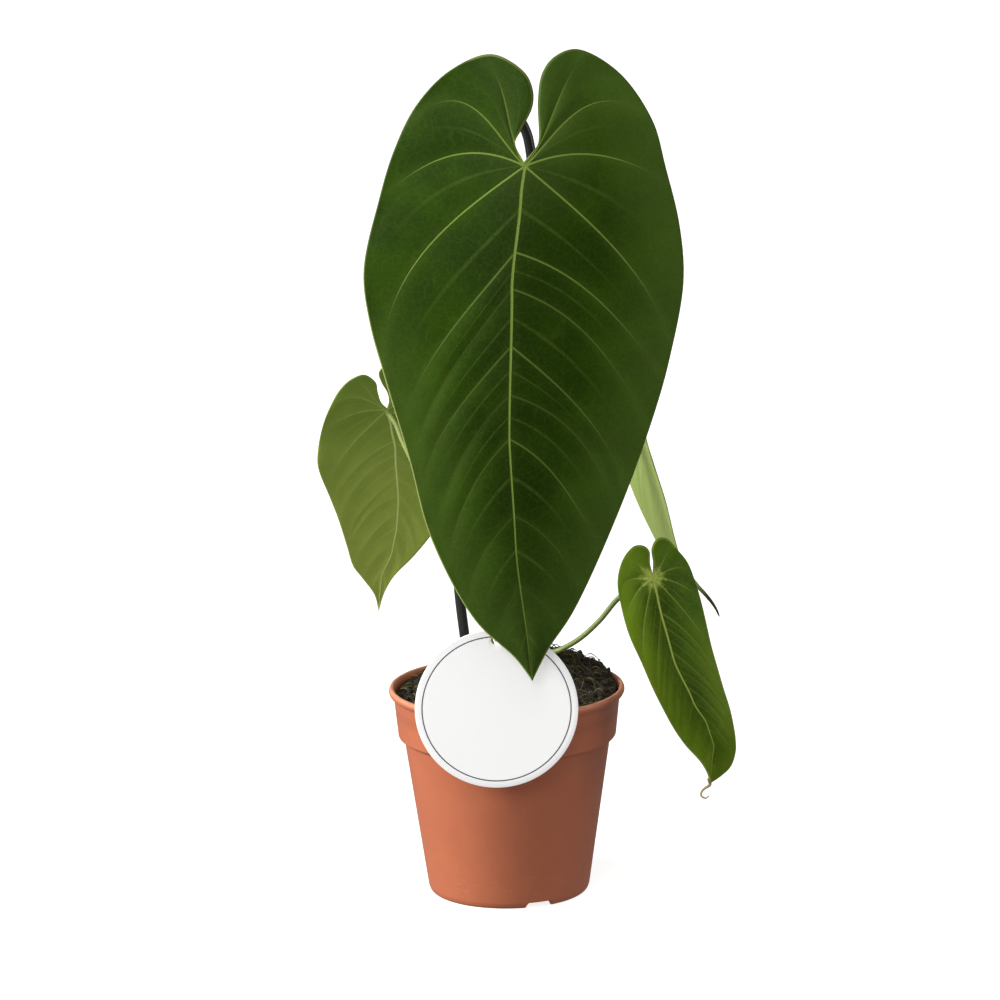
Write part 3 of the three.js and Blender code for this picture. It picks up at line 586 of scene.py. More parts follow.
@dataclass
class Blade(SubAssembly):
    """One leaf blade: two halves of veins and cushions between them, closed by a rounded margin."""

    name: str
    node: str
    shape: BladeShape

    def outline(self, half: Half) -> Array:
        """The smooth outline of one half, from the sinus to the tip."""
        return smooth_curve(self.shape.left if half is Half.LEFT else self.shape.right, OUTLINE_SAMPLES)

    def across_shares(self) -> Array:
        """Shares of the way from the midrib to the margin, closer together at the margin."""
        return np.concatenate([np.linspace(0, 0.984, self.shape.columns), [0.991, 0.996, 0.999, 1.0]])

    def main_rows(self, number: Array) -> list[int]:
        """Row numbers that lie on the veins themselves."""
        return [int(np.abs(number - vein).argmin()) for vein in range(len(self.shape.rows) + 1)]

    def vein_rows(self, half: Half, number: Array) -> tuple[Array, Array, Array, Array]:
        """Rows of the half blade at fractional vein numbers.

        The bows and the ends of neighbouring veins are joined by Hermite cubics, the starts by straight
        lines. A vein is the straight line from start to end plus, square to it, the cubic that has the
        two bows at a third and two thirds.

        Args:
            half: Which half.
            number: Fractional vein numbers.

        Returns:
            Across and down of each row's points, the rows' ends and the share between two veins.
        """
        shape = self.shape
        table = VEINS[half][:, :4].copy()
        table[:, 1:3] *= shape.bow
        last = len(table) - 1
        index = np.minimum(number.astype(int), last - 1)
        w = (number - index)[:, None]
        p0, p1 = table[np.maximum(index - 1, 0)], table[index]
        p2, p3 = table[index + 1], table[np.minimum(index + 2, last)]
        slope1, slope2 = (p2 - p0) / 2, (p3 - p1) / 2
        row = (2 * w**3 - 3 * w**2 + 1) * p1 + (w**3 - 2 * w**2 + w) * slope1
        row += (3 * w**2 - 2 * w**3) * p2 + (w**3 - w**2) * slope2
        start_down = (p1[:, 0] + (p2[:, 0] - p1[:, 0]) * w[:, 0]) * shape.length
        edge = np.clip(row[:, 3], 0, 1)
        end = along_curve(self.outline(half), edge)
        start = np.stack([shape.rib(start_down), start_down], 1)
        chord = end - start
        square = np.stack([-chord[:, 1], chord[:, 0]], 1) * half.value
        s = self.across_shares()
        first, second = 13.5 * s * (s - 2 / 3) * (s - 1), -13.5 * s * (s - 1 / 3) * (s - 1)
        off = row[:, 1, None] * first + row[:, 2, None] * second
        across = start[:, 0, None] + chord[:, 0, None] * s + square[:, 0, None] * off
        down = start[:, 1, None] + chord[:, 1, None] * s + square[:, 1, None] * off
        return across, down, edge, w[:, 0]

    def half_grid(self, half: Half) -> HalfGrid:
        """Rows through the veins of one half, after the rows that fill the corner at the sinus.

        Those blend from the sinus margin to the first vein in steps that shrink on the way.

        Args:
            half: Which half.

        Returns:
            The rows.
        """
        steps = [np.arange(n) / n for n in self.shape.rows]
        number = np.concatenate([i + step for i, step in enumerate(steps)] + [[len(steps)]])
        across, down, edge, between = self.vein_rows(half, number)
        sinus = along_curve(self.outline(half), edge[0] * self.across_shares() ** SINUS_PACE)
        share = (1 - (1 - np.arange(SINUS_ROWS) / SINUS_ROWS) ** 1.5)[:, None]
        return HalfGrid(
            across=np.concatenate([sinus[:, 0] + (across[0] - sinus[:, 0]) * share, across]),
            down=np.concatenate([sinus[:, 1] + (down[0] - sinus[:, 1]) * share, down]),
            number=np.concatenate([share[:, 0] - 1, number]),
            edge=np.concatenate([np.full(SINUS_ROWS, edge[0]), edge]),
            between=np.concatenate([share[:, 0], between]),
            sinus=sinus,
        )

    def relief(self, half: Half, grid: HalfGrid) -> Array:
        """Heights of the middle surface.

        On the blade's height stand cushions, a half sine from vein to vein times one from midrib to
        margin, and waves, a sine along the outline that grows with the fifth power towards the margin.

        Args:
            half: Which half.
            grid: Its rows.

        Returns:
            Heights, row by row.
        """
        shape, s = self.shape, self.across_shares()
        quilt = shape.quilt * np.sin(math.pi * grid.between)[:, None]
        quilt = quilt * np.sin(math.pi * np.minimum(s / QUILT_REACH, 1))
        ripple = np.sin(2 * math.pi * shape.waves * grid.edge + half.value)[:, None] * s**5
        wave = shape.wave * ripple * (np.minimum(grid.edge * 8, 1) * (1 - grid.edge))[:, None]
        return shape.height(grid.across, grid.down) + quilt + wave

    def carried_values(self, half: Half, grid: HalfGrid) -> dict[str, Array]:
        """What the pattern is drawn from: distances in millimetres and places in the rows.

        Args:
            half: Which half.
            grid: Its rows.

        Returns:
            Distance from the nearest vein, how clearly that vein shows, distances from the midrib and
            the margin, share of the way to the margin, and vein number.
        """
        flat, s = grid.flat(), self.across_shares()
        veins = [np.stack([grid.across[r], grid.down[r]], 1) for r in self.main_rows(grid.number)]
        from_veins = distance_to_lines(flat, veins)
        ends = np.stack([grid.across[:, -1], grid.down[:, -1]], 1)
        from_rib = np.abs(flat[:, 0] - self.shape.rib(flat[:, 1]))
        return {
            "vein": from_veins.min(0),
            "clear": VEINS[half][:, 4][from_veins.argmin(0)],
            "rib": np.where(flat[:, 1] < 0, np.hypot(flat[:, 0], flat[:, 1]), from_rib),
            "rim": distance_to_lines(flat, [np.concatenate([grid.sinus, ends])])[0],
            "share": np.tile(s, len(grid.number)),
            "number": np.repeat(grid.number, len(s)),
        }

    def half_surface(self, half: Half) -> Surface:
        """One half of the blade, upper face and lower face joined at the margin.

        The faces stand off the middle surface by half the thickness, which falls to nothing over the
        last part of a millimetre as a quarter circle.

        Args:
            half: Which half.

        Returns:
            The open surface, which meets the other half on the midrib.
        """
        grid = self.half_grid(half)
        flat, height, values = grid.flat(), self.relief(half, grid).ravel(), self.carried_values(half, grid)
        inward = np.minimum(values["rim"] / MARGIN_ROUNDING, 1)
        thick = BLADE_THICKNESS / 2 * np.sqrt(1 - (1 - inward) ** 2)
        upper = self.shape.place(flat[:, 0], flat[:, 1], height + thick)
        lower = self.shape.place(flat[:, 0], flat[:, 1], height - thick)
        faces = grid_faces(*grid.across.shape)
        if half is Half.RIGHT:
            faces = faces[:, ::-1]
        above, below = np.zeros(len(flat)), np.ones(len(flat))
        return joined([
            Surface(upper, faces, values | {"under": above}, flat * PLANE_SCALE),
            Surface(lower, faces[:, ::-1], values | {"under": below}, flat * PLANE_SCALE),
        ])

    def build(self) -> list[Piece]:
        """Makes the blade in place of its CAD node.

        Returns:
            The piece.
        """
        piece = make_piece(self.name, weld(joined([self.half_surface(half) for half in Half])))
        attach(piece, "root")
        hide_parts(self.node)
        return [piece]


@dataclass
class Stalk(SubAssembly):
    """One leaf stalk: a round tube from the crown to the back of its blade, thicker at both ends."""

    name: str
    node: str
    blade: BladeShape
    route: tuple[Point, ...]
    seat_down: float
    radius: float
    base_radius: float
    knee_radius: float
    base_fade: float = 7.0
    knee_start: float = 0.86
    knee_length: float = 0.14
    sunk: float = 0.05
    steps: int = 110
    sides: int = 20

    def seat(self) -> Array:
        """The point on the blade's lower face where the stalk ends, a little under the surface.

        Returns:
            The point.
        """
        down = np.array([self.seat_down, self.seat_down + 1])
        across = self.blade.rib(down)
        place = self.blade.place(across, down, self.blade.height(across, down))
        tangent = (place[1] - place[0]) / np.linalg.norm(place[1] - place[0])
        face = self.blade.axes()[2]
        normal = face - tangent * (face @ tangent)
        return place[0] - normal / np.linalg.norm(normal) * (BLADE_THICKNESS / 2 - self.sunk)

    def build(self) -> list[Piece]:
        """Makes the stalk in place of its CAD node.

        Its radius falls from the base and grows again towards the knee, both by a power of the share.

        Returns:
            The piece.
        """
        control = np.concatenate([np.array(self.route, float), [self.seat()]])
        route = smooth_curve(control, self.steps)
        share = np.linspace(0, 1, self.steps)
        at_base = np.maximum(1 - self.base_fade * share, 0) ** 1.5
        at_knee = np.maximum((share - self.knee_start) / self.knee_length, 0) ** 1.2
        radius = self.radius + (self.base_radius - self.radius) * at_base
        radius += (self.knee_radius - self.radius) * at_knee
        piece = make_piece(self.name, tube_surface(route, radius, self.sides))
        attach(piece, "root")
        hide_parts(self.node)
        return [piece]


# Sizes shared by pieces that touch
RIM_RADIUS = 60.0
POT_HEIGHT = 107.0
WALL = 1.2
BODY_FOOT_RADIUS = 41.2
BODY_TOP_RADIUS = 52.5
BODY_TOP_HEIGHT = 80.0
COLLAR_FOOT_RADIUS = 55.5
COLLAR_FOOT_HEIGHT = 82.0
COLLAR_TOP_RADIUS = 57.6
FOOT_RADIUS = 40.0
FOOT_HEIGHT = 3.0
RIM_HEIGHT = 4.6


@dataclass
class Pot(SubAssembly):
    """The turned pot: rolled rim, deep collar, foot ring with notches, centre pad and drain holes."""

    foot_ring_width: float = 2.2
    centre_pad_radius: float = 9.0
    corner_reach: float = 0.5
    corner_steps: int = 3
    notch_first_degrees: float = -67.7
    notch_count: int = 3
    notch_foot: float = 7.4
    notch_top: float = 5.9
    notch_reach: float = 3.0
    drain_count: int = 6
    drain_radius: float = 4.0
    drain_circle: float = 25.0
    drain_sides: int = 32
    segments: int = 216
    sharp_degrees: float = 38.0

    def profile(self) -> Array:
        """The wall's section with its corners rounded.

        Returns:
            Radius and height, from the middle of the underside round the rim to the middle of the floor.
        """
        inner_collar = COLLAR_FOOT_RADIUS - WALL
        floor_top = FOOT_HEIGHT + WALL
        ring = FOOT_RADIUS - self.foot_ring_width
        corners = (
            (0.0, 0.0),
            (self.centre_pad_radius, 0.0),
            (self.centre_pad_radius + 0.6, FOOT_HEIGHT),
            (ring - 0.4, FOOT_HEIGHT),
            (ring, 0.0),
            (FOOT_RADIUS - 0.6, 0.0),
            (FOOT_RADIUS + 0.4, 0.9),
            (BODY_FOOT_RADIUS, FOOT_HEIGHT),
            (BODY_TOP_RADIUS, BODY_TOP_HEIGHT),
            (COLLAR_FOOT_RADIUS - 0.4, COLLAR_FOOT_HEIGHT - 0.6),
            (COLLAR_FOOT_RADIUS, COLLAR_FOOT_HEIGHT),
            (COLLAR_TOP_RADIUS, POT_HEIGHT - RIM_HEIGHT),
            (RIM_RADIUS - 0.7, POT_HEIGHT - RIM_HEIGHT + 0.6),
            (RIM_RADIUS, POT_HEIGHT - RIM_HEIGHT + 1.8),
            (RIM_RADIUS, POT_HEIGHT - 1.6),
            (RIM_RADIUS - 0.5, POT_HEIGHT - 0.4),
            (RIM_RADIUS - 1.2, POT_HEIGHT),
            (RIM_RADIUS - 2.2, POT_HEIGHT - 0.2),
            (RIM_RADIUS - 2.7, POT_HEIGHT - 1.2),
            (COLLAR_TOP_RADIUS - WALL, POT_HEIGHT - RIM_HEIGHT + WALL),
            (inner_collar, COLLAR_FOOT_HEIGHT + 0.6),
            (BODY_TOP_RADIUS - WALL, BODY_TOP_HEIGHT - 0.4),
            (BODY_FOOT_RADIUS - WALL + 0.6, floor_top + 2.4),
            (BODY_FOOT_RADIUS - WALL - 1, floor_top),
            (0.0, floor_top),
        )
        return softened(corners, self.corner_reach, self.corner_steps)

    def angles(self) -> Array:
        """Even angles round the pot with more of them at each notch's sides.

        Returns:
            Angles in radians, in rising order.
        """
        side = np.array([-self.notch_foot, -self.notch_top, self.notch_top, self.notch_foot]) / FOOT_RADIUS
        notch = math.radians(self.notch_first_degrees) + even_angles(self.notch_count)
        extra = (notch[:, None] + side[None]).ravel() % (2 * math.pi)
        return np.unique(np.round(np.concatenate([even_angles(self.segments), extra]), 6))

    def build(self) -> list[Piece]:
        """Makes the pot, with its notches pressed into the ring and its drains cut through the floor.

        A notch lifts the ring's points to a height that rises evenly over its sloping sides.

        Returns:
            The piece.
        """
        angles = self.angles()
        points = turned_surface(self.profile(), angles)
        middle = math.radians(self.notch_first_degrees)
        pitch = 2 * math.pi / self.notch_count
        beside = np.abs((angles - middle + pitch / 2) % pitch - pitch / 2) * FOOT_RADIUS
        rise = FOOT_HEIGHT * np.clip((self.notch_foot - beside) / (self.notch_foot - self.notch_top), 0, 1)
        radius = np.hypot(points[..., 0], points[..., 1])
        on_ring = radius > FOOT_RADIUS - self.foot_ring_width - self.notch_reach
        points[..., 2] = np.where(on_ring, np.maximum(points[..., 2], rise[None, :]), points[..., 2])
        faces = grid_faces(len(points), len(angles), close_columns=True)
        surface = weld(Surface(points.reshape(-1, 3), faces[:, ::-1]))
        piece = make_piece("terracotta_pot", surface, self.sharp_degrees)
        self.cut_drains(piece)
        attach(piece, "root")
        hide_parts("pot")
        return [piece]

    def cut_drains(self, piece: Piece) -> None:
        """Takes the drain holes out of the floor with upright tubes.

        Args:
            piece: The pot.
        """
        turn = 2 * math.pi * (np.arange(self.drain_count) + 0.5) / self.drain_count
        route = np.array([[0.0, 0.0, 1.0], [0.0, 0.0, 4.0], [0.0, 0.0, 7.0]])
        one = tube_surface(route, self.drain_radius, self.drain_sides)
        shifts = np.stack([self.drain_circle * np.cos(turn), self.drain_circle * np.sin(turn), 0 * turn], 1)
        drains = joined([Surface(one.points + shift, one.faces) for shift in shifts])
        cutter = make_piece("drain_cutter", drains)
        cut = piece.modifiers.new("drains", "BOOLEAN")
        cut.operation = "DIFFERENCE"
        cut.object = cutter
        bpy.context.view_layer.objects.active = piece
        bpy.ops.object.modifier_apply(modifier=cut.name)
        bpy.data.meshes.remove(cutter.data)


@dataclass
class GrowingMix(SubAssembly):
    """The dark fibrous mix: a heaped bed, loose clods on it, and strands of moss and bark fibre."""

    level: float = 103.2
    mound_height: float = 14.0
    mound_spread: float = 22.0
    mound_centre: Pair = (20.0, 18.0)
    slope: Pair = (0.012, 0.05)
    highest: float = 125.0
    wall_gap: float = 0.6
    wall_sink: float = 0.6
    wall_sink_width: float = 6.0
    bed_segments: int = 220
    bed_rings: int = 110
    scatter_radius: float = 54.0
    clods: int = 800
    clod_rings: int = 6
    clod_columns: int = 9
    strands: int = 900
    strand_steps: int = 9
    strand_sides: int = 5
    strand_length: Pair = (3.0, 13.0)
    strand_radius: Pair = (0.12, 0.34)
    strand_lift: Pair = (0.3, 3.0)
    strand_sway: float = 1.8
    strand_limit: float = 54.5
    seed: int = 20177

    def smooth_height(self, x: Array, y: Array) -> Array:
        """Height of the bed: a level, a round heap (a bell curve), a slope and slow waves.

        Args:
            x: Places across.
            y: Places from front to back.

        Returns:
            One height for each place.
        """
        gap = (x - self.mound_centre[0]) ** 2 + (y - self.mound_centre[1]) ** 2
        heap = self.mound_height * np.exp(-gap / (2 * self.mound_spread**2))
        waves = 0.7 * np.sin(0.31 * x + np.sin(0.23 * y)) * np.sin(0.27 * y + np.sin(0.19 * x))
        return self.level + heap + self.slope[0] * x + self.slope[1] * y + waves

    def height(self, x: Array, y: Array) -> Array:
        """Height of the bed with its crumbs: bumps and finer ridges on the smooth height.

        Args:
            x: Places across.
            y: Places from front to back.

        Returns:
            One height for each place.
        """
        coarse = wavy(x, y, self.seed, 13.0)
        fine = 1 - 2 * np.abs(wavy(x, y, self.seed + 1, 4.2, 4))
        return self.smooth_height(x, y) + coarse + 0.6 * fine

    def bed(self) -> Surface:
        """The bed as one closed turned form.

        Its lower rings follow the inside of the pot at a small gap, and its upper rings take the height
        of the bed, lowered a little against the wall.

        Returns:
            The closed surface.
        """
        gap = self.wall_gap
        floor = FOOT_HEIGHT + WALL + 0.3
        wall = np.array([
            [0.0, floor],
            [BODY_FOOT_RADIUS - WALL - 1 - gap, floor],
            [BODY_FOOT_RADIUS - WALL + 0.6 - gap, floor + 2.4],
            [BODY_TOP_RADIUS - WALL - gap, BODY_TOP_HEIGHT - 0.4],
            [COLLAR_FOOT_RADIUS - WALL - gap, COLLAR_FOOT_HEIGHT + 1.4],
        ])
        angles = even_angles(self.bed_segments)
        top_radius = COLLAR_TOP_RADIUS - WALL - gap
        radius = top_radius * np.sqrt(np.linspace(1, 0, self.bed_rings))
        x, y = radius[:, None] * np.cos(angles), radius[:, None] * np.sin(angles)
        width = self.wall_sink_width
        sunk = self.wall_sink * np.clip((radius - top_radius + width) / width, 0, 1)[:, None]
        top = np.stack([x, y, np.minimum(self.height(x, y) - sunk, self.highest)], -1)
        points = np.concatenate([turned_surface(wall, angles), top])
        faces = grid_faces(len(points), len(angles), close_columns=True)
        return weld(Surface(points.reshape(-1, 3), faces[:, ::-1]))

    def scatter(self, count: int, seed: int) -> tuple[Array, np.random.Generator]:
        """Seeded places on the bed, even over its area and clear of the rim.

        Args:
            count: Number of places.
            seed: Seed of the draws.

        Returns:
            One point a line, and the generator for the draws that follow.
        """
        random = np.random.default_rng(seed)
        distance = self.scatter_radius * np.sqrt(random.random(count))
        turn = 2 * math.pi * random.random(count)
        x, y = distance * np.cos(turn), distance * np.sin(turn)
        return np.stack([x, y, self.height(x, y)], 1), random

    def clod_surface(self) -> Surface:
        """All clods at once: small balls on a grid of angles, squeezed, turned and dented by seeded waves.

        Returns:
            The closed surface with the value "tone", one for each clod.
        """
        polar = np.linspace(0, math.pi, self.clod_rings)[:, None]
        around = even_angles(self.clod_columns)[None]
        ball = np.stack([
            np.sin(polar) * np.cos(around),
            np.sin(polar) * np.sin(around),
            np.cos(polar) + 0 * around,
        ], -1).reshape(-1, 3)
        place, random = self.scatter(self.clods, self.seed + 2)
        size = 0.6 + 1.9 * random.random(self.clods) ** 2.2
        shape = random.uniform(0.55, 1.15, (self.clods, 3)) * size[:, None]
        phase = random.uniform(0, 2 * math.pi, (self.clods, 1, 3))
        dent = 1 + 0.2 * np.sin(3.1 * ball[None] + phase).sum(-1, keepdims=True) / 2
        local = ball[None] * dent * shape[:, None]
        angle = random.uniform(0, 2 * math.pi, self.clods)[:, None]
        x = local[..., 0] * np.cos(angle) - local[..., 1] * np.sin(angle)
        y = local[..., 0] * np.sin(angle) + local[..., 1] * np.cos(angle)
        points = np.stack([x, y, local[..., 2]], -1) + place[:, None]
        points[..., 2] += 0.1 * size[:, None]
        one = grid_faces(self.clod_rings, self.clod_columns, close_columns=True)[:, ::-1]
        faces = repeated_faces(one, self.clods, len(ball))
        tone = np.repeat(random.random(self.clods), len(ball))
        return weld(Surface(points.reshape(-1, 3), faces, {"tone": tone}))

    def strand_surface(self) -> Surface:
        """All strands at once: thin tubes along arcs that rise from the bed, sway and come down again.

        The centre line runs straight in plan with a sideways sine, and its height over the bed is a
        parabola. Rings lie in the plane square to the heading.

        Returns:
            The closed surface with the value "tone", one for each strand.
        """
        sides = self.strand_sides
        place, random = self.scatter(self.strands, self.seed + 3)
        share = np.linspace(0, 1, self.strand_steps)
        heading = random.uniform(0, 2 * math.pi, self.strands)[:, None]
        length = random.uniform(*self.strand_length, self.strands)[:, None]
        sway = random.uniform(-self.strand_sway, self.strand_sway, self.strands)[:, None]
        sway = sway * np.sin(math.pi * share * 1.6)
        ahead = length * (share - 0.5)
        x = place[:, :1] + ahead * np.cos(heading) - sway * np.sin(heading)
        y = place[:, 1:2] + ahead * np.sin(heading) + sway * np.cos(heading)
        reach = np.maximum(np.hypot(x, y) / self.strand_limit, 1)
        x, y = x / reach, y / reach
        lift = random.uniform(*self.strand_lift, self.strands)[:, None] * 4 * share * (1 - share) - 0.3
        z = self.smooth_height(x, y) + 0.6 + lift
        radius = random.uniform(*self.strand_radius, self.strands)[:, None]
        radius = radius * np.sqrt(1.02 - (2 * share - 1) ** 2)
        turn = even_angles(sides)
        across = radius[..., None] * np.cos(turn)
        up = radius[..., None] * np.sin(turn)
        points = np.stack([
            x[..., None] - across * np.sin(heading)[..., None],
            y[..., None] + across * np.cos(heading)[..., None],
            z[..., None] + up,
        ], -1)
        first, last = (
            end.mean(2, keepdims=True).repeat(sides, 2) for end in (points[:, :1], points[:, -1:])
        )
        points = np.concatenate([first, points, last], 1)
        rings = self.strand_steps + 2
        faces = repeated_faces(grid_faces(rings, sides, close_columns=True), self.strands, rings * sides)
        tone = np.repeat(random.random(self.strands), rings * sides)
        return weld(Surface(points.reshape(-1, 3), faces, {"tone": tone}))

    def build(self) -> list[Piece]:
        """Makes the bed in place of its CAD node, and the clods and strands that lie on it.

        Returns:
            The bed, the clods and the strands.
        """
        bed = make_piece("growing_mix", self.bed())
        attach(bed, "root")
        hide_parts("soil")
        clods = make_piece("growing_mix_clods", self.clod_surface())
        strands = make_piece("moss_strands", self.strand_surface())
        for piece in (clods, strands):
            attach(piece, "root")
        return [bed, clods, strands]


@dataclass
class Crown(SubAssembly):
    """The short stem the stalks grow from, with dry sheaths of older leaves."""

    x: float = 1.0
    radius: float = 8.5
    foot: float = 78.0
    top: float = 122.0
    shoulder: float = 0.75
    rings: int = 46
    sides: int = 48
    lid_rings: int = 5
    sheath_depth: float = 22.0
    sheath_radius: float = 2.6
    sheath_end_radius: float = 0.4
    sheath_steps: int = 26
    sheath_sides: int = 14
    sheaths: tuple[tuple[float, float, float], ...] = ((200, 5, 24), (320, 5.5, 18), (95, 5, 21))

    def stem_surface(self) -> Surface:
        """The stem: rings whose radius grows slowly, then draws in at the top, ridged and knobbly.

        Returns:
            The closed surface.
        """
        share = np.linspace(0, 1, self.rings)
        turn = even_angles(self.sides)
        body = np.where(share < self.shoulder, 0.82 + 0.24 * share, 1 - 1.6 * (share - self.shoulder))
        height = self.foot + (self.top - self.foot) * share
        knobs = 0.35 * wavy(turn[None] * 6, height[:, None], 5, 9.0)
        knobs += 0.3 * np.sin(height[:, None] * 1.5 + 2 * np.sin(turn[None] * 2)) ** 3
        radius = self.radius * body[:, None] + knobs * (share[:, None] < 0.98)
        points = np.stack([
            self.x + radius * np.cos(turn),
            radius * np.sin(turn),
            np.broadcast_to(height[:, None], radius.shape),
        ], -1)
        cap = np.linspace(0.75, 0, self.lid_rings)[:, None]
        inner = radius.min(1)[-1] * cap
        level = height[-1] + 0.8 * (1 - cap**2)
        lid = np.stack([
            self.x + inner * np.cos(turn),
            inner * np.sin(turn),
            np.broadcast_to(level, (self.lid_rings, self.sides)),
        ], -1)
        base = np.broadcast_to(np.array([self.x, 0, self.foot]), (1, self.sides, 3))
        points = np.concatenate([base, points, lid])
        faces = grid_faces(len(points), self.sides, close_columns=True)
        return weld(Surface(points.reshape(-1, 3), faces))

    def sheath_surface(self, degrees: float, out: float, height: float) -> Surface:
        """One dry sheath: a tapering tube that stands against the stem and leans away at its top.

        Args:
            degrees: Side of the stem it stands on.
            out: Distance of its middle from the stem's axis.
            height: Its height.

        Returns:
            The closed surface.
        """
        turn = math.radians(degrees)
        foot = self.top - self.sheath_depth
        control = [
            (self.x + r * math.cos(turn), r * math.sin(turn), z)
            for r, z in ((out - 2, foot), (out, foot + height / 2), (out + 1.5, foot + height))
        ]
        route = smooth_curve(control, self.sheath_steps)
        share = np.linspace(0, 1, self.sheath_steps)
        radius = self.sheath_radius + (self.sheath_end_radius - self.sheath_radius) * share**1.4
        radius *= 1 + 0.1 * np.sin(9 * share)
        return tube_surface(route, radius, self.sheath_sides, dome=True)

    def build(self) -> list[Piece]:
        """Makes the stem in place of its CAD node, and its sheaths.

        Returns:
            The stem and the sheaths.
        """
        stem = make_piece("crown_stem", self.stem_surface())
        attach(stem, "root")
        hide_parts("crown")
        sheaths = make_piece("crown_sheaths", joined([self.sheath_surface(*s) for s in self.sheaths]))
        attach(sheaths, "root")
        return [stem, sheaths]


@dataclass
class SupportHoop(SubAssembly):
    """The bent wire hoop behind the tall leaf, one smooth rod from leg to leg."""

    radius: float = 2.6
    y: float = 14.0
    route: tuple[Pair, ...] = (
        (-16.5, 30), (-17.4, 80), (-19.3, 112), (-21.2, 130), (-23.4, 151), (-26.5, 200), (-28.6, 270),
        (-29, 340), (-27, 376), (-19.5, 399), (-8, 408), (4.5, 403), (12.7, 391.3), (15.3, 381.5),
        (17.2, 350), (17.5, 290), (17.3, 200), (16.8, 120), (16, 30),
    )
    steps: int = 260
    sides: int = 20

    def build(self) -> list[Piece]:
        """Makes the rod in place of its CAD node.

        Returns:
            The piece.
        """
        route = smooth_curve([(x, self.y, z) for x, z in self.route], self.steps)
        piece = make_piece("hoop_rod", tube_surface(route, self.radius, self.sides, dome=True))
        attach(piece, "root")
        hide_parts("support_hoop")
        return [piece]


@dataclass
class Label(SubAssembly):
    """The round blank label of card with a printed ring line and one punched hole."""

    radius: float = 40.8
    thickness: float = 0.8
    centre: Pair = (-5.2, 110.6)
    hole_radius: float = 2.3
    hole_height: float = 35.4
    gap: float = 0.3
    segments: int = 192
    lip_steps: int = 7
    face_rings: int = 22
    sharp_degrees: float = 40.0

    def surface(self) -> Surface:
        """The disc between the hole's circle and its edge, closed through the hole.

        Each ring is the blend of the hole's circle and the outer circle at the same angle. The edge and
        the hole's lip are rounded by a half round of steps.

        Returns:
            The closed surface.
        """
        turn = even_angles(self.segments)
        lip, rings = self.lip_steps, self.face_rings
        bend = np.linspace(0, math.pi, lip)
        half = self.thickness / 2
        outer = self.radius - half * 0.6 * (1 - np.sin(bend))
        inner = self.hole_radius + half * 0.6 * (1 - np.sin(bend))
        flat = np.linspace(0, 1, rings + 2)[1:-1]
        share = np.concatenate([np.ones(lip), flat[::-1], np.zeros(lip), flat])[:, None]
        back, front = np.full(rings, half), np.full(rings, -half)
        depth = np.concatenate([-half * np.cos(bend), back, half * np.cos(bend), front])[:, None]
        big = np.concatenate([outer, np.full(rings + lip, outer[-1]), np.full(rings, outer[0])])[:, None]
        small = np.concatenate([np.full(lip + rings, inner[0]), inner, np.full(rings, inner[-1])])[:, None]
        x = share * big * np.cos(turn) + (1 - share) * small * np.cos(turn)
        z = share * big * np.sin(turn) + (1 - share) * (self.hole_height + small * np.sin(turn))
        y = np.broadcast_to(depth, x.shape)
        middle = -RIM_RADIUS - self.gap - half
        points = np.stack([x + self.centre[0], y + middle, z + self.centre[1]], -1)
        faces = grid_faces(len(share), len(turn), close_rows=True, close_columns=True)
        return weld(Surface(points.reshape(-1, 3), faces[:, ::-1]))

    def build(self) -> list[Piece]:
        """Makes the label in place of its CAD node.

        Returns:
            The piece.
        """
        piece = make_piece("blank_label", self.surface(), self.sharp_degrees)
        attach(piece, "root")
        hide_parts("label_disc")
        return [piece]


@dataclass
class Tie(SubAssembly):
    """The coated wire that runs through the label's hole, round the tall leaf's stalk and back."""

    label: Label
    radius: float = 0.6
    height: float = 149.0
    steps: int = 300
    sides: int = 12

    def build(self) -> list[Piece]:
        """Makes the closed loop in place of its CAD node.

        Returns:
            The piece.
        """
        label, level = self.label, self.height
        x = label.centre[0]
        hole = label.centre[1] + label.hole_height
        edge = label.centre[1] + label.radius
        card = -RIM_RADIUS - label.gap - label.thickness / 2
        control = [
            (x, card, hole - 0.2), (x, card + 2.2, hole), (x + 0.8, -40, hole + 0.6), (1.8, -4, level - 0.4),
            (2.2, 4.4, level), (6.7, 7.3, level), (11.1, 4.6, level), (10.8, -3.6, level + 0.4),
            (x + 4, -42, hole + 5.4), (x, card + 2, edge + 1), (x, card, edge + 1.4),
            (x, card - 1.5, edge + 0.2), (x, card - 1.6, hole + 2.2), (x, card - 1.3, hole + 0.4),
        ]
        route = smooth_curve(control, self.steps, closed=True)
        piece = make_piece("label_wire", tube_surface(route, self.radius, self.sides, closed=True))
        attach(piece, "root")
        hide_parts("label_tie")
        return [piece]


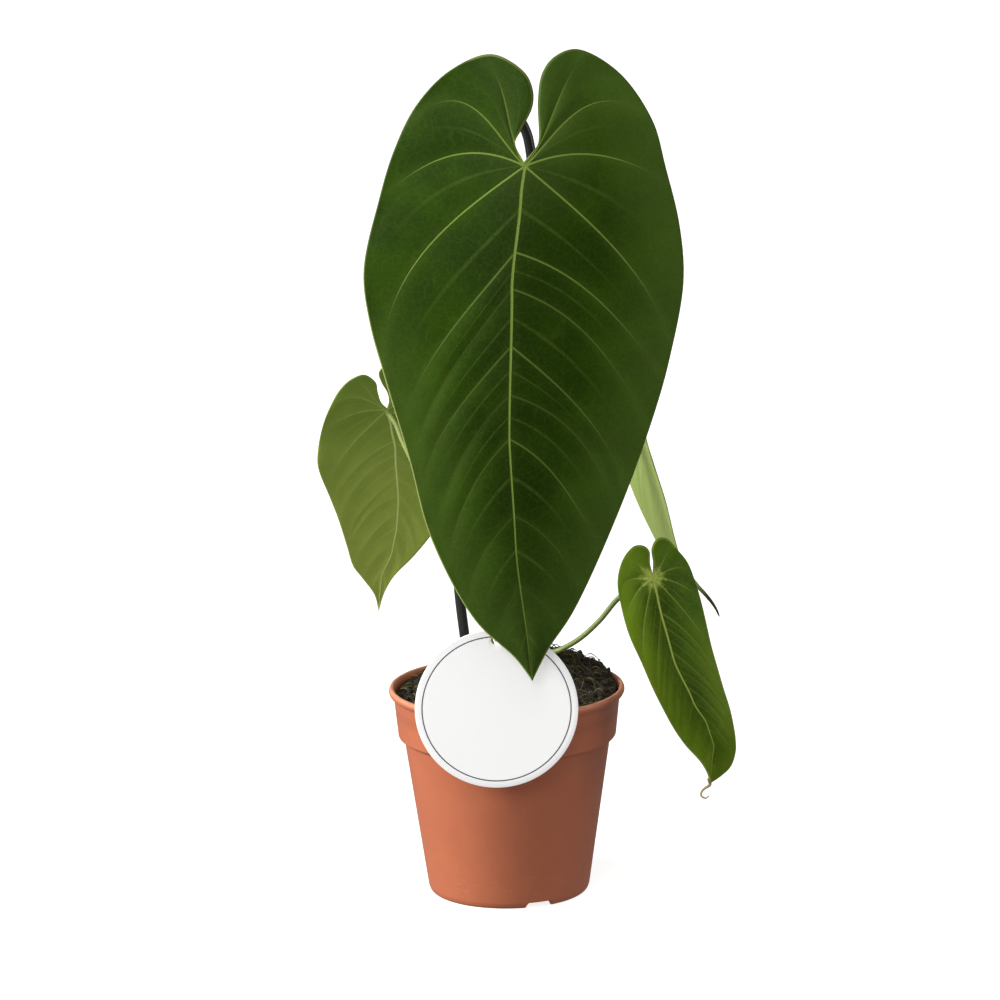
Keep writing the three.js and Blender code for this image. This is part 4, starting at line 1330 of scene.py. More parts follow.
class Canvas:
    """A thin layer over one node tree that adds nodes, feeds their sockets and hands back outputs."""

    def __init__(self, tree: NodeTree) -> None:
        """Keeps the tree that nodes are added to."""
        self.tree = tree

    def feed(self, socket: Socket, value: object) -> None:
        """Links an output to a socket, or sets the socket's own value.

        Args:
            socket: The input.
            value: An output socket, a number or a colour.
        """
        if isinstance(value, Socket):
            self.tree.links.new(value, socket)
        elif isinstance(value, tuple) and len(value) == 3 and socket.type == "RGBA":
            socket.default_value = (*value, 1.0)
        else:
            socket.default_value = value

    def add(self, kind: str, inputs: dict | None = None, **settings: object) -> bpy.types.Node:
        """Adds one node.

        Args:
            kind: Its type name.
            inputs: Values for its sockets, by name or number.
            settings: Its own settings.

        Returns:
            The node.
        """
        node = self.tree.nodes.new(kind)
        for name, value in settings.items():
            setattr(node, name, value)
        for key, value in (inputs or {}).items():
            self.feed(node.inputs[key], value)
        return node

    def calc(self, operation: str, *values: object) -> Socket:
        """The result of one Math node on one to three values."""
        return self.add("ShaderNodeMath", dict(enumerate(values)), operation=operation).outputs[0]

    def chain(self, operation: str, *values: object) -> Socket:
        """The result of Math nodes that work through values from left to right.

        Args:
            operation: Their operation.
            values: Two or more values.

        Returns:
            The last node's result.
        """
        result = values[0]
        for value in values[1:]:
            result = self.calc(operation, result, value)
        return result

    def times(self, *values: object) -> Socket:
        """The product of values."""
        return self.chain("MULTIPLY", *values)

    def plus(self, *values: object) -> Socket:
        """The sum of values."""
        return self.chain("ADD", *values)

    def minus(self, first: object, second: object) -> Socket:
        """The first value less the second."""
        return self.calc("SUBTRACT", first, second)

    def most(self, *values: object) -> Socket:
        """The largest of values."""
        return self.chain("MAXIMUM", *values)

    def radius(self, x: object, y: object) -> Socket:
        """The distance from the middle: the root of the sum of two squares."""
        return self.calc("SQRT", self.plus(self.times(x, x), self.times(y, y)))

    def blend(self, share: object, first: object, second: object, kind: str = "MIX") -> Socket:
        """Two colours mixed by a share.

        Args:
            share: How much of the second.
            first: A colour.
            second: A colour.
            kind: How they mix.

        Returns:
            The mixed colour.
        """
        node = self.add("ShaderNodeMix", data_type="RGBA", blend_type=kind)
        for key, value in ((0, share), (6, first), (7, second)):
            self.feed(node.inputs[key], value)
        return node.outputs[2]

    def fade(self, value: object, start: object, end: object, low: float = 0.0, high: float = 1.0) -> Socket:
        """An eased step.

        Args:
            value: What it depends on.
            start: Where it starts.
            end: Where it ends, which may be less than the start.
            low: Its result at and before the start.
            high: Its result at and after the end.

        Returns:
            The result.
        """
        inputs = {"Value": value, "From Min": start, "From Max": end, "To Min": low, "To Max": high}
        return self.add("ShaderNodeMapRange", inputs, interpolation_type="SMOOTHSTEP").outputs["Result"]

    def noise(self, place: object, scale: float, detail: float = 3.0, stretch: Point = (1, 1, 1)) -> Socket:
        """Cloudy noise from 0 to 1 about 0.5.

        Args:
            place: Where it is read.
            scale: How many clouds fit in a unit.
            detail: How many finer layers it has.
            stretch: Factors along the axes.

        Returns:
            The noise.
        """
        spread = self.add("ShaderNodeVectorMath", {0: place, 1: stretch}, operation="MULTIPLY").outputs[0]
        return self.add("ShaderNodeTexNoise", {"Vector": spread, "Scale": scale, "Detail": detail}).outputs[0]

    def carried(self, name: str) -> Socket:
        """A value that the mesh carries."""
        return self.add("ShaderNodeAttribute", attribute_name=name).outputs["Fac"]

    def place(self) -> Socket:
        """The point on the object, in metres."""
        return self.add("ShaderNodeTexCoord").outputs["Object"]

    def parts(self, vector: object) -> tuple[Socket, ...]:
        """The three parts of a vector."""
        return tuple(self.add("ShaderNodeSeparateXYZ", {0: vector}).outputs)

    def length(self, vector: object) -> Socket:
        """The length of a vector."""
        return self.add("ShaderNodeVectorMath", {0: vector}, operation="LENGTH").outputs["Value"]


class Skin:
    """One new material: its canvas, its Principled shader and what most finishes feed it."""

    def __init__(self, name: str) -> None:
        """Makes the material.

        Args:
            name: Its name.
        """
        self.material = bpy.data.materials.new(name)
        self.material.use_nodes = True
        self.canvas = Canvas(self.material.node_tree)
        self.shader = self.material.node_tree.nodes["Principled BSDF"]

    def grain(self, group: NodeTree, size: float, tone: float, height: float) -> tuple[Socket, Socket]:
        """Places the shared fine grain with this finish's own values.

        Args:
            group: The shared group.
            size: How fine it is.
            tone: How much the tone varies.
            height: How high it stands.

        Returns:
            The grain's tone and its height.
        """
        values = {"Size": size, "Tone": tone, "Height": height}
        node = self.canvas.add("ShaderNodeGroup", values, node_tree=group)
        return node.outputs["Tone"], node.outputs["Height"]

    def cover(self, colour: object, roughness: object, height: object, strength: float, rise: float) -> None:
        """Feeds the shader a colour, a roughness and a bump.

        Args:
            colour: Its colour.
            roughness: Its roughness.
            height: What the bump is made of.
            strength: How strong the bump is.
            rise: Its height in metres.
        """
        bump = self.canvas.add("ShaderNodeBump", {"Height": height, "Strength": strength, "Distance": rise})
        for key, value in (("Base Color", colour), ("Roughness", roughness), ("Normal", bump.outputs[0])):
            self.canvas.feed(self.shader.inputs[key], value)

    def lift(self, colour: object, strength: float) -> None:
        """Lets the surface give off a little of a colour, a painted light from a surface that is no lamp."""
        self.canvas.feed(self.shader.inputs["Emission Color"], colour)
        self.shader.inputs["Emission Strength"].default_value = strength


def node_group(
    name: str, inputs: dict[str, object], outputs: dict[str, str]
) -> tuple[NodeTree, Canvas, dict[str, Socket]]:
    """Starts a shader node group with named sockets.

    Args:
        name: Its name.
        inputs: Each input's starting value, a number or a colour.
        outputs: Each output's socket type.

    Returns:
        The group, its canvas and its input sockets by name.
    """
    tree = bpy.data.node_groups.new(name, "ShaderNodeTree")
    for key, value in inputs.items():
        kind = "NodeSocketColor" if isinstance(value, tuple) else "NodeSocketFloat"
        socket = tree.interface.new_socket(name=key, in_out="INPUT", socket_type=kind)
        socket.default_value = (*value, 1.0) if isinstance(value, tuple) else value
    for key, kind in outputs.items():
        tree.interface.new_socket(name=key, in_out="OUTPUT", socket_type=kind)
    canvas = Canvas(tree)
    entry = canvas.add("NodeGroupInput")
    return tree, canvas, {key: entry.outputs[key] for key in inputs}


def grain_group() -> NodeTree:
    """Fine unevenness for the matt and moulded finishes: a cloudy tone and a small height.

    The tone is a slow noise around 1, the height a mix of a fine and a very fine noise.

    Returns:
        The shared group.
    """
    starts = {"Size": 200.0, "Tone": 0.1, "Height": 0.5}
    kinds = dict.fromkeys(("Tone", "Height"), "NodeSocketFloat")
    tree, c, given = node_group("fine_grain", starts, kinds)
    place, size = c.place(), given["Size"]
    slow, fine, finer = (
        c.add("ShaderNodeTexNoise", {"Vector": place, "Scale": scale, "Detail": detail}).outputs[0]
        for scale, detail in ((c.times(size, 0.15), 2.0), (size, 4.0), (c.times(size, 5.0), 2.0))
    )
    shift = c.times(c.minus(slow, 0.5), given["Tone"])
    small = c.times(c.minus(fine, 0.5), c.times(given["Tone"], 0.6))
    tone = c.plus(1.0, c.times(shift, 2.0), small)
    height = c.times(c.plus(fine, c.times(finer, 0.5)), given["Height"])
    c.add("NodeGroupOutput", {"Tone": tone, "Height": height})
    return tree


class Venation:
    """The shared pattern of the blades: veins, net, margin and both faces' colours.

    Every mask is an eased step of a distance in millimetres that the mesh carries: from the nearest vein,
    the midrib or the margin. The side number is 1 when the painted light in the band inside the margin lies
    on the right half and -1 when it lies on the left; the painted highlight on the margin's line keeps to
    the other side. The shade beside the midrib is painted too.
    """

    COLOURS = ("Upper", "Upper Dark", "Under", "Under Dark", "Vein", "Under Vein", "Rim")
    NUMBERS = ("Length", "Width", "Net", "Glow", "Laterals", "Edge", "Dark Tip", "Pale Side")
    # Colour of the painted shade beside the midrib.
    PAINTED_RIB_SHADE = (0.006, 0.016, 0.0004)
    # Colour the blade darkens to near its tip.
    TIP_DARKENING = (0.02, 0.025, 0.01)

    def __init__(self) -> None:
        """Starts the group and reads what its masks are worked out from."""
        starts = dict.fromkeys(self.COLOURS, (0.1, 0.2, 0.05)) | dict.fromkeys(self.NUMBERS, 1.0)
        kinds = {"Colour": "NodeSocketColor", "Roughness": "NodeSocketFloat", "Height": "NodeSocketFloat"}
        self.tree, self.c, self.given = node_group("leaf_venation", starts, kinds)
        c = self.c
        self.vein, self.clear, self.rib, self.rim, self.share, self.number, self.under = (
            c.carried(name) for name in ("vein", "clear", "rib", "rim", "share", "number", "under")
        )
        flat = c.add("ShaderNodeUVMap", uv_map="plane").outputs[0]
        back = (1 / PLANE_SCALE,) * 3
        self.spot = c.add("ShaderNodeVectorMath", {0: flat, 1: back}, operation="MULTIPLY").outputs[0]
        across, self.down, _ = c.parts(self.spot)
        self.from_sinus = c.length(self.spot)
        self.reach = self.by_length(self.from_sinus)
        self.reach_down = self.by_length(self.down)
        self.toward_band_side = c.times(self.by_length(across), self.given["Pale Side"])
        self.cloud = c.noise(self.spot, 0.035)
        self.speckle = c.noise(self.spot, 0.45, 4.0)

    def by_length(self, value: object) -> Socket:
        """A measure as a share of the blade's length."""
        return self.c.calc("DIVIDE", value, self.given["Length"])

    def lateral_veins(self) -> Socket:
        """The side veins, thinner towards the margin and weaker towards the tip.

        Returns:
            Their mask.
        """
        c = self.c
        half = c.times(self.given["Width"], c.fade(self.share, 0.0, 0.9, 0.62, 0.2))
        return c.times(
            c.fade(self.vein, c.plus(half, 0.28), c.times(half, 0.55)),
            c.fade(self.share, 0.92, 0.5),
            self.clear,
            self.given["Laterals"],
            c.fade(self.reach, 0.05, 0.62, 1.0, 0.45),
        )

    def midrib(self) -> Socket:
        """The midrib, thinner and weaker towards the tip.

        Returns:
            Its mask.
        """
        c = self.c
        half = c.times(self.given["Width"], c.fade(self.reach, 0.0, 1.0, 1.05, 0.32))
        line = c.fade(self.rib, c.plus(half, 0.28), c.times(half, 0.5))
        return c.times(line, c.fade(self.down, -0.6, 0.4), c.fade(self.reach, 1.0, 0.55, 0.45, 1.0))

    def faint_veins(self) -> Socket:
        """Faint veins halfway between the side veins and one that runs along inside the margin.

        Returns:
            Their mask.
        """
        c = self.c
        between = c.calc("ABSOLUTE", c.minus(c.calc("FRACT", self.number), 0.5))
        second = c.times(c.fade(between, 0.045, 0.012), c.fade(self.share, 0.9, 0.2, 0.0, 0.16))
        collected = c.fade(c.calc("ABSOLUTE", c.minus(self.share, 0.905)), 0.011, 0.003, 0.0, 0.035)
        return c.times(c.most(second, collected), c.fade(self.speckle, 0.3, 0.6, 0.4, 1.0))

    def net(self) -> Socket:
        """The net of the finest veins: the edges of Voronoi cells in two sizes.

        Returns:
            Its mask.
        """
        c = self.c
        cells, small = (
            c.add("ShaderNodeTexVoronoi", {"Vector": self.spot, "Scale": scale}, feature="DISTANCE_TO_EDGE")
            for scale in (0.26, 0.85)
        )
        fine = c.fade(small.outputs[0], 0.1, 0.0, 0.0, 0.4)
        return c.times(c.plus(c.fade(cells.outputs[0], 0.07, 0.0), fine), self.given["Net"])

    def sinus_glow(self) -> Socket:
        """The pale patch where the veins meet, with a ragged border that runs out along them.

        Returns:
            Its mask.
        """
        c, glow = self.c, self.given["Glow"]
        ragged = c.times(c.noise(self.spot, 0.45), c.times(glow, 0.75))
        spread = c.plus(self.from_sinus, ragged, c.times(c.calc("MINIMUM", self.vein, self.rib), 2.2))
        return c.fade(spread, glow, c.times(glow, 0.5))

    def edge_line(self) -> Socket:
        """The thin line on the margin, wider beside the sinus.

        Returns:
            Its mask.
        """
        c = self.c
        line = c.times(c.minus(c.fade(self.number, 0.35, 0.1, 0.75, 1.3), self.rim), 2.0)
        return c.calc("MINIMUM", c.most(line, 0.0), 1.0)

    def painted_light_band(self) -> Socket:
        """Painted light: the broad soft band inside the margin, clearest on its chosen side and towards the
        tip.

        Returns:
            Its mask.
        """
        c = self.c
        band = c.times(c.fade(self.by_length(self.rim), 0.17, 0.0), c.times(self.given["Edge"], 0.6))
        beside = c.fade(self.toward_band_side, -0.15, 0.15, 0.05, 1.0)
        return c.times(band, c.most(beside, c.fade(self.reach_down, 0.15, 0.5, 0.0, 0.8)))

    def painted_margin_highlight(self, edge_line: object) -> Socket:
        """The painted highlight on the margin's line: the darker side towards the tip and, weakly, the sinus.

        Args:
            edge_line: The line's mask.

        Returns:
            The painted highlight's mask.
        """
        c = self.c
        far_side = c.times(
            c.fade(self.toward_band_side, 0.12, -0.02, 0.2, 1.0), c.fade(self.reach_down, 0.1, 0.4, 0.2, 0.9)
        )
        lobe = c.times(c.fade(self.number, 0.35, 0.1, 0.0, 0.4), c.fade(self.toward_band_side, 0.022, 0.016))
        return c.times(edge_line, c.most(far_side, lobe))

    def upper_face(self, drawn: object, halo: object, edge_line: object) -> Socket:
        """The upper face's colour, with painted shade and light, from the ground tone to the margin's line.

        Args:
            drawn: The mask of all veins.
            halo: The mask of the paler skin beside the main veins.
            edge_line: The mask of the margin's line.

        Returns:
            The colour.
        """
        c, given = self.c, self.given
        # Painted shade beside the midrib, where the blade slopes away from the light.
        painted_rib_shade = c.fade(self.by_length(self.rib), 0.0, 0.15, 0.45, 0.0)
        colour = c.blend(c.fade(self.cloud, 0.35, 0.68), given["Upper Dark"], given["Upper"])
        colour = c.blend(c.times(c.fade(self.speckle, 0.35, 0.75), 0.18), colour, given["Rim"], "OVERLAY")
        colour = c.blend(halo, colour, given["Vein"])
        colour = c.blend(painted_rib_shade, colour, self.PAINTED_RIB_SHADE)
        # Painted light in the broad band inside the margin.
        colour = c.blend(self.painted_light_band(), colour, given["Rim"])
        colour = c.blend(self.sinus_glow(), colour, given["Vein"])
        colour = c.blend(drawn, colour, given["Vein"])
        # Painted highlight on the margin's line.
        return c.blend(c.times(self.painted_margin_highlight(edge_line), 0.9), colour, given["Under Vein"])

    def lower_face(self, veins: object, net: object, halo: object, edge_line: object) -> Socket:
        """The lower face's colour, paler towards the tip.

        Args:
            veins: The mask of the veins without the net.
            net: The net's mask.
            halo: The mask of the paler skin beside the main veins.
            edge_line: The mask of the margin's line.

        Returns:
            The colour.
        """
        c, given = self.c, self.given
        cloudy = c.fade(self.cloud, 0.35, 0.68, 0.0, 0.25)
        ripe = c.plus(c.fade(self.reach_down, -0.25, 0.5, 0.0, 0.75), cloudy)
        colour = c.blend(ripe, given["Under Dark"], given["Under"])
        colour = c.blend(c.times(halo, 0.8), colour, given["Under Vein"])
        colour = c.blend(c.times(net, 0.7), colour, given["Under Dark"])
        colour = c.blend(veins, colour, given["Under Vein"])
        return c.blend(c.times(edge_line, 0.15), colour, given["Rim"])

    def build(self) -> NodeTree:
        """Joins the masks into a colour, a roughness and a height, which is sunk on the upper face.

        Returns:
            The shared group.
        """
        c, under = self.c, self.under
        main = c.most(self.lateral_veins(), self.midrib())
        faint, net, edge_line = self.faint_veins(), self.net(), self.edge_line()
        fine = c.most(faint, net)
        halo = c.times(c.plus(c.fade(self.vein, 5.0, 0.0), c.fade(self.rib, 6.0, 0.0)), 0.05)
        upper = self.upper_face(c.most(main, fine), halo, edge_line)
        lower = self.lower_face(c.most(main, faint), net, halo, edge_line)
        # Darker over the last part of the blade towards its tip, by the Dark Tip share.
        tip_darkening = c.times(c.fade(self.reach, 0.84, 0.93), self.given["Dark Tip"])
        colour = c.blend(tip_darkening, c.blend(under, upper, lower), self.TIP_DARKENING)
        mottle = c.times(c.minus(self.speckle, 0.5), 0.12)
        rough = c.plus(c.fade(under, 0.0, 1.0, 0.42, 0.55), mottle, c.times(main, 0.1))
        side = c.minus(c.times(under, 2.6), 1.0)
        raised = c.times(side, c.most(main, c.times(fine, 0.6)))
        height = c.plus(raised, c.times(self.speckle, 0.35))
        c.add("NodeGroupOutput", {"Colour": colour, "Roughness": rough, "Height": height})
        return self.tree


@dataclass(frozen=True)
class LeafFinish:
    """Living leaf: its fields have the names of the pattern's inputs, in small letters."""

    name: str
    upper: Colour
    upper_dark: Colour
    under: Colour
    under_dark: Colour
    vein: Colour
    under_vein: Colour
    rim: Colour
    length: float
    width: float = 1.0
    net: float = 0.1
    glow: float = 8.0
    laterals: float = 1.0
    # Strength of the painted light in the band inside the margin.
    edge: float = 0.5
    dark_tip: float = 0.0
    # Side of the painted light band: 1 for the right half, -1 for the left.
    pale_side: float = 1.0
    # How much the blade gives off its own colour: painted light.
    painted_glow: float = 0.0
    gloss: float = 0.06

    def make(self, venation: NodeTree) -> Material:
        """Makes the material.

        Args:
            venation: The shared pattern group.

        Returns:
            The material.
        """
        skin = Skin(self.name)
        names = Venation.COLOURS + Venation.NUMBERS
        values = {key: getattr(self, key.lower().replace(" ", "_")) for key in names}
        pattern = skin.canvas.add("ShaderNodeGroup", values, node_tree=venation).outputs
        skin.cover(pattern["Colour"], pattern["Roughness"], pattern["Height"], 0.5, 0.0006)
        skin.shader.inputs["Specular IOR Level"].default_value = self.gloss
        # Painted light: the blade gives off a little of its own colour, a glow though it is no lamp.
        if self.painted_glow:
            skin.lift(pattern["Colour"], self.painted_glow)
        return skin.material


@dataclass(frozen=True)
class StalkFinish:
    """Stalk skin: a colour at the foot that turns into another along it, streaked lengthwise."""

    name: str
    foot: Colour
    top: Colour
    turn_at: float = 0.3

    def make(self) -> Material:
        """Makes the material. Streaks are noise on the run and turn that the tube carries.

        Returns:
            The material.
        """
        skin = Skin(self.name)
        c = skin.canvas
        run, turn = c.carried("run"), c.carried("turn")
        spot = c.add("ShaderNodeCombineXYZ", {0: c.times(run, 5.0), 1: c.times(turn, 14.0)}).outputs[0]
        streak = c.noise(spot, 1.6, 4.0)
        colour = c.blend(c.fade(run, self.turn_at - 0.15, self.turn_at + 0.2), self.foot, self.top)
        dark = c.blend(0.45, self.top, (0.05, 0.07, 0.015))
        colour = c.blend(c.fade(streak, 0.45, 0.75, 0.0, 0.55), colour, dark)
        skin.cover(colour, c.fade(streak, 0.3, 0.7, 0.36, 0.5), streak, 0.35, 0.0003)
        return skin.material


@dataclass(frozen=True)
class TerracottaFinish:
    """Moulded terracotta-coloured plastic: satin, faintly mottled, with pale scuffs low on the wall.

    The bands are heights or radii in metres between which a mask comes or goes.
    """

    base: Colour = (0.56, 0.165, 0.078)
    # Colour of the pale scuffs low on the wall and of the painted highlight along the rim's top.
    scuff_and_highlight: Colour = (0.72, 0.36, 0.22)
    # Colour of the painted shade on the inner wall under the rim.
    inside: Colour = (0.3, 0.085, 0.04)
    gloss: float = 0.5
    scuffs_start: Pair = (0.006, 0.009)
    scuffs_end: Pair = (0.022, 0.013)
    # Heights over which the painted highlight along the rim's top comes in.
    rim_highlight_heights: Pair = (0.1045, 0.1068)
    inside_top: Pair = (0.1065, 0.1045)
    inside_foot: Pair = (0.09, 0.1)
    inside_radius: Pair = (0.0573, 0.0563)
    ring_pace: float = 5200.0

    def make(self, grain: NodeTree) -> Material:
        """Makes the material.

        Args:
            grain: The shared fine grain group.

        Returns:
            The material.
        """
        skin = Skin("pot_plastic")
        c = skin.canvas
        speck_tone, speck_height = skin.grain(grain, 420.0, 0.09, 0.5)
        place = c.place()
        x, y, z = c.parts(place)
        streaks = c.noise(place, 160.0, 3.0, (1.0, 1.0, 5.0))
        low = c.times(c.fade(z, *self.scuffs_start), c.fade(z, *self.scuffs_end))
        scuffs = c.times(c.fade(streaks, 0.6, 0.72), low)
        # Painted highlight along the rim's top, broken up by the streaks.
        painted_rim_highlight = c.times(c.fade(z, *self.rim_highlight_heights), c.fade(streaks, 0.3, 0.6, 0.3, 0.7))
        # Painted shade: the inner wall under the rim is darkened with the inside colour.
        wall = c.times(c.fade(z, *self.inside_top), c.fade(c.radius(x, y), *self.inside_radius))
        colour = c.blend(1.0, self.base, speck_tone, "MULTIPLY")
        colour = c.blend(c.times(scuffs, 0.3), colour, self.scuff_and_highlight)
        colour = c.blend(painted_rim_highlight, colour, self.scuff_and_highlight)
        colour = c.blend(c.times(wall, c.fade(z, *self.inside_foot)), colour, self.inside)
        rings = c.calc("SINE", c.times(z, self.ring_pace))
        height = c.plus(speck_height, c.times(rings, 0.05))
        skin.cover(colour, c.fade(streaks, 0.2, 0.8, 0.4, 0.54), height, 0.25, 0.0003)
        skin.shader.inputs["Specular IOR Level"].default_value = self.gloss
        return skin.material


@dataclass(frozen=True)
class MixFinish:
    """Damp growing mix: three earth colours, chosen by noise and by each lump's own tone."""

    name: str
    dark: Colour
    middle: Colour
    light: Colour
    carried: bool

    def make(self, grain: NodeTree) -> Material:
        """Makes the material.

        Args:
            grain: The shared fine grain group.

        Returns:
            The material.
        """
        skin = Skin(self.name)
        c = skin.canvas
        speck_tone, speck_height = skin.grain(grain, 900.0, 0.5, 1.0)
        choice = c.carried("tone") if self.carried else c.noise(c.place(), 260.0, 5.0)
        light_band = (0.55, 0.95) if self.carried else (0.52, 0.75)
        colour = c.blend(c.fade(choice, 0.2, 0.6), self.dark, self.middle)
        colour = c.blend(c.fade(choice, *light_band), colour, self.light)
        colour = c.blend(1.0, colour, speck_tone, "MULTIPLY")
        skin.cover(colour, c.fade(choice, 0.0, 1.0, 0.72, 0.95), speck_height, 0.8, 0.0008)
        return skin.material


@dataclass(frozen=True)
class CoatFinish:
    """A smooth coating on wire: one colour, a little dust and fine grain in the gloss."""

    name: str
    base: Colour
    roughness: float

    def make(self, grain: NodeTree) -> Material:
        """Makes the material.

        Args:
            grain: The shared fine grain group.

        Returns:
            The material.
        """
        skin = Skin(self.name)
        c = skin.canvas
        speck_tone, speck_height = skin.grain(grain, 700.0, 0.3, 0.4)
        colour = c.blend(1.0, self.base, speck_tone, "MULTIPLY")
        skin.cover(colour, c.times(speck_tone, self.roughness), speck_height, 0.2, 0.0002)
        return skin.material


@dataclass(frozen=True)
class CardFinish:
    """White card with a thin dark printed ring line, a faint paper tooth and a painted glow. Lengths are in
    metres.
    """

    white: Colour = (0.92, 0.92, 0.925)
    line: Colour = (0.035, 0.035, 0.04)
    line_radius: float = 0.0372
    line_outside: float = 0.00046
    line_inside: float = 0.0002
    front: Pair = (-0.0608, -0.0609)
    # How much the card gives off its own colour: painted light that keeps it near white.
    lift: float = 0.285

    def make(self, grain: NodeTree, centre: Pair) -> Material:
        """Makes the material. The line is an eased step of the distance from the ring's circle.

        Args:
            grain: The shared fine grain group.
            centre: Across and height of the label's middle.

        Returns:
            The material.
        """
        skin = Skin("label_card")
        c = skin.canvas
        x, y, z = c.parts(c.place())
        radius = c.radius(c.minus(x, centre[0]), c.minus(z, centre[1]))
        gap = c.calc("ABSOLUTE", c.minus(radius, self.line_radius))
        printed = c.times(c.fade(gap, self.line_outside, self.line_inside), c.fade(y, *self.front))
        speck_tone, speck_height = skin.grain(grain, 1500.0, 0.02, 0.4)
        card = c.blend(1.0, self.white, speck_tone, "MULTIPLY")
        colour = c.blend(c.times(printed, 0.95), card, self.line)
        skin.cover(colour, c.fade(speck_tone, 0.9, 1.1, 0.5, 0.62), speck_height, 0.1, 0.0001)
        # Painted light: the card glows with its own colour though it is no lamp.
        skin.lift(colour, self.lift)
        return skin.material


FRONT_GREEN = LeafFinish(
    name="leaf_upper_front", upper=(0.023, 0.057, 0.0008), upper_dark=(0.014, 0.037, 0.0006),
    under=(0.19, 0.25, 0.07), under_dark=(0.14, 0.19, 0.05), vein=(0.18, 0.26, 0.045),
    under_vein=(0.36, 0.42, 0.13), rim=(0.14, 0.235, 0.04), length=256, width=0.72, net=0.05, edge=0.4,
)
LEFT_GREEN = LeafFinish(
    name="leaf_under_left", upper=(0.06, 0.12, 0.01), upper_dark=(0.04, 0.09, 0.008),
    under=(0.33, 0.42, 0.075), under_dark=(0.16, 0.26, 0.035), vein=(0.27, 0.38, 0.07),
    under_vein=(0.62, 0.72, 0.24), rim=(0.4, 0.48, 0.1), length=128, width=0.5, net=0.1, laterals=0.35,
    painted_glow=0.16,
)
BACK_GREEN = LeafFinish(
    name="leaf_under_back", upper=(0.06, 0.12, 0.012), upper_dark=(0.04, 0.09, 0.01),
    under=(0.385, 0.5, 0.145), under_dark=(0.33, 0.43, 0.12), vein=(0.27, 0.38, 0.07),
    under_vein=(0.4, 0.47, 0.2), rim=(0.3, 0.38, 0.12), length=160, width=0.7, net=0.1, laterals=0.3,
    dark_tip=0.9, painted_glow=0.05,
)
RIGHT_GREEN = LeafFinish(
    name="leaf_upper_right", upper=(0.068, 0.15, 0.0015), upper_dark=(0.04, 0.092, 0.001),
    under=(0.2, 0.26, 0.07), under_dark=(0.14, 0.2, 0.04), vein=(0.42, 0.52, 0.1),
    under_vein=(0.36, 0.42, 0.13), rim=(0.24, 0.36, 0.02), length=110, width=0.5, net=0.06, glow=17,
    laterals=0.4, edge=0.8, pale_side=-1.0,
)
MIX_FINISHES = (
    MixFinish("mix_bed", (0.01, 0.007, 0.003), (0.026, 0.018, 0.009), (0.06, 0.042, 0.02), False),
    MixFinish("mix_clods", (0.008, 0.006, 0.003), (0.022, 0.016, 0.007), (0.055, 0.038, 0.017), True),
    MixFinish("mix_strands", (0.035, 0.034, 0.01), (0.09, 0.075, 0.03), (0.22, 0.16, 0.075), True),
)
CROWN_BARK = MixFinish("crown_bark", (0.1, 0.085, 0.03), (0.2, 0.2, 0.06), (0.3, 0.24, 0.12), False)
HOOP_COAT = CoatFinish("hoop_coat", (0.02, 0.022, 0.02), 0.34)
TIE_COAT = CoatFinish("tie_coat", (0.5, 0.5, 0.32), 0.5)
LEAF_FINISHES = (FRONT_GREEN, LEFT_GREEN, BACK_GREEN, RIGHT_GREEN)
STALK_FINISHES = (
    StalkFinish("stalk_front", (0.3, 0.36, 0.1), (0.2, 0.28, 0.06)),
    StalkFinish("stalk_left", (0.32, 0.38, 0.1), (0.3, 0.38, 0.1)),
    StalkFinish("stalk_back", (0.3, 0.36, 0.1), (0.26, 0.34, 0.09)),
    StalkFinish("stalk_right", (0.62, 0.64, 0.3), (0.22, 0.3, 0.07), 0.22),
)
DRY_THREAD = StalkFinish("dry_thread", (0.3, 0.26, 0.1), (0.6, 0.42, 0.24), 0.2)


FRONT_LEAF = BladeShape(
    at=(12.2, -45, 382.1), facing=-90, lean=6, spin=0.5, length=256, bow=1, arch=8, fold=0.2,
    fold_radius=10, hook=0, quilt=0.75, wave=1.2, waves=7,
    left=(
        (-0.3, -2), (-4.3, -11.3), (-1.4, -17.1), (4.7, -29.2), (4.7, -38.2), (0.6, -46.1), (-15, -54.8),
        (-35.6, -47.2), (-52.9, -30), (-64.5, -7.7), (-72.2, 15.8), (-80.6, 50.7), (-78.1, 76.7),
        (-71.7, 102.1), (-60.7, 141.9), (-50.3, 183.4), (-29.5, 224.8), (-9.7, 244.5), (-1.6, 256),
    ),
    right=(
        (-0.3, -2), (6.4, -9.8), (7.3, -13.3), (7.3, -32), (9.6, -44.8), (15.4, -52.5), (26.8, -56.3),
        (47, -44.8), (63.5, -20.7), (69.8, 3.1), (76, 31.5), (77.4, 59.8), (70.1, 95.8), (61.8, 123.7),
        (42, 174.7), (19.2, 222), (7.4, 239), (2.6, 247.6), (-1.6, 256),
    ),
    midrib=((0, 0), (-2.1, 13.5), (-7.6, 59), (-10.5, 134), (-8.5, 188), (-2.9, 246), (-1.6, 256)),
    rows=(16, 16, 24, 14, 10, 10, 10, 10, 14, 14, 16), columns=60,
)
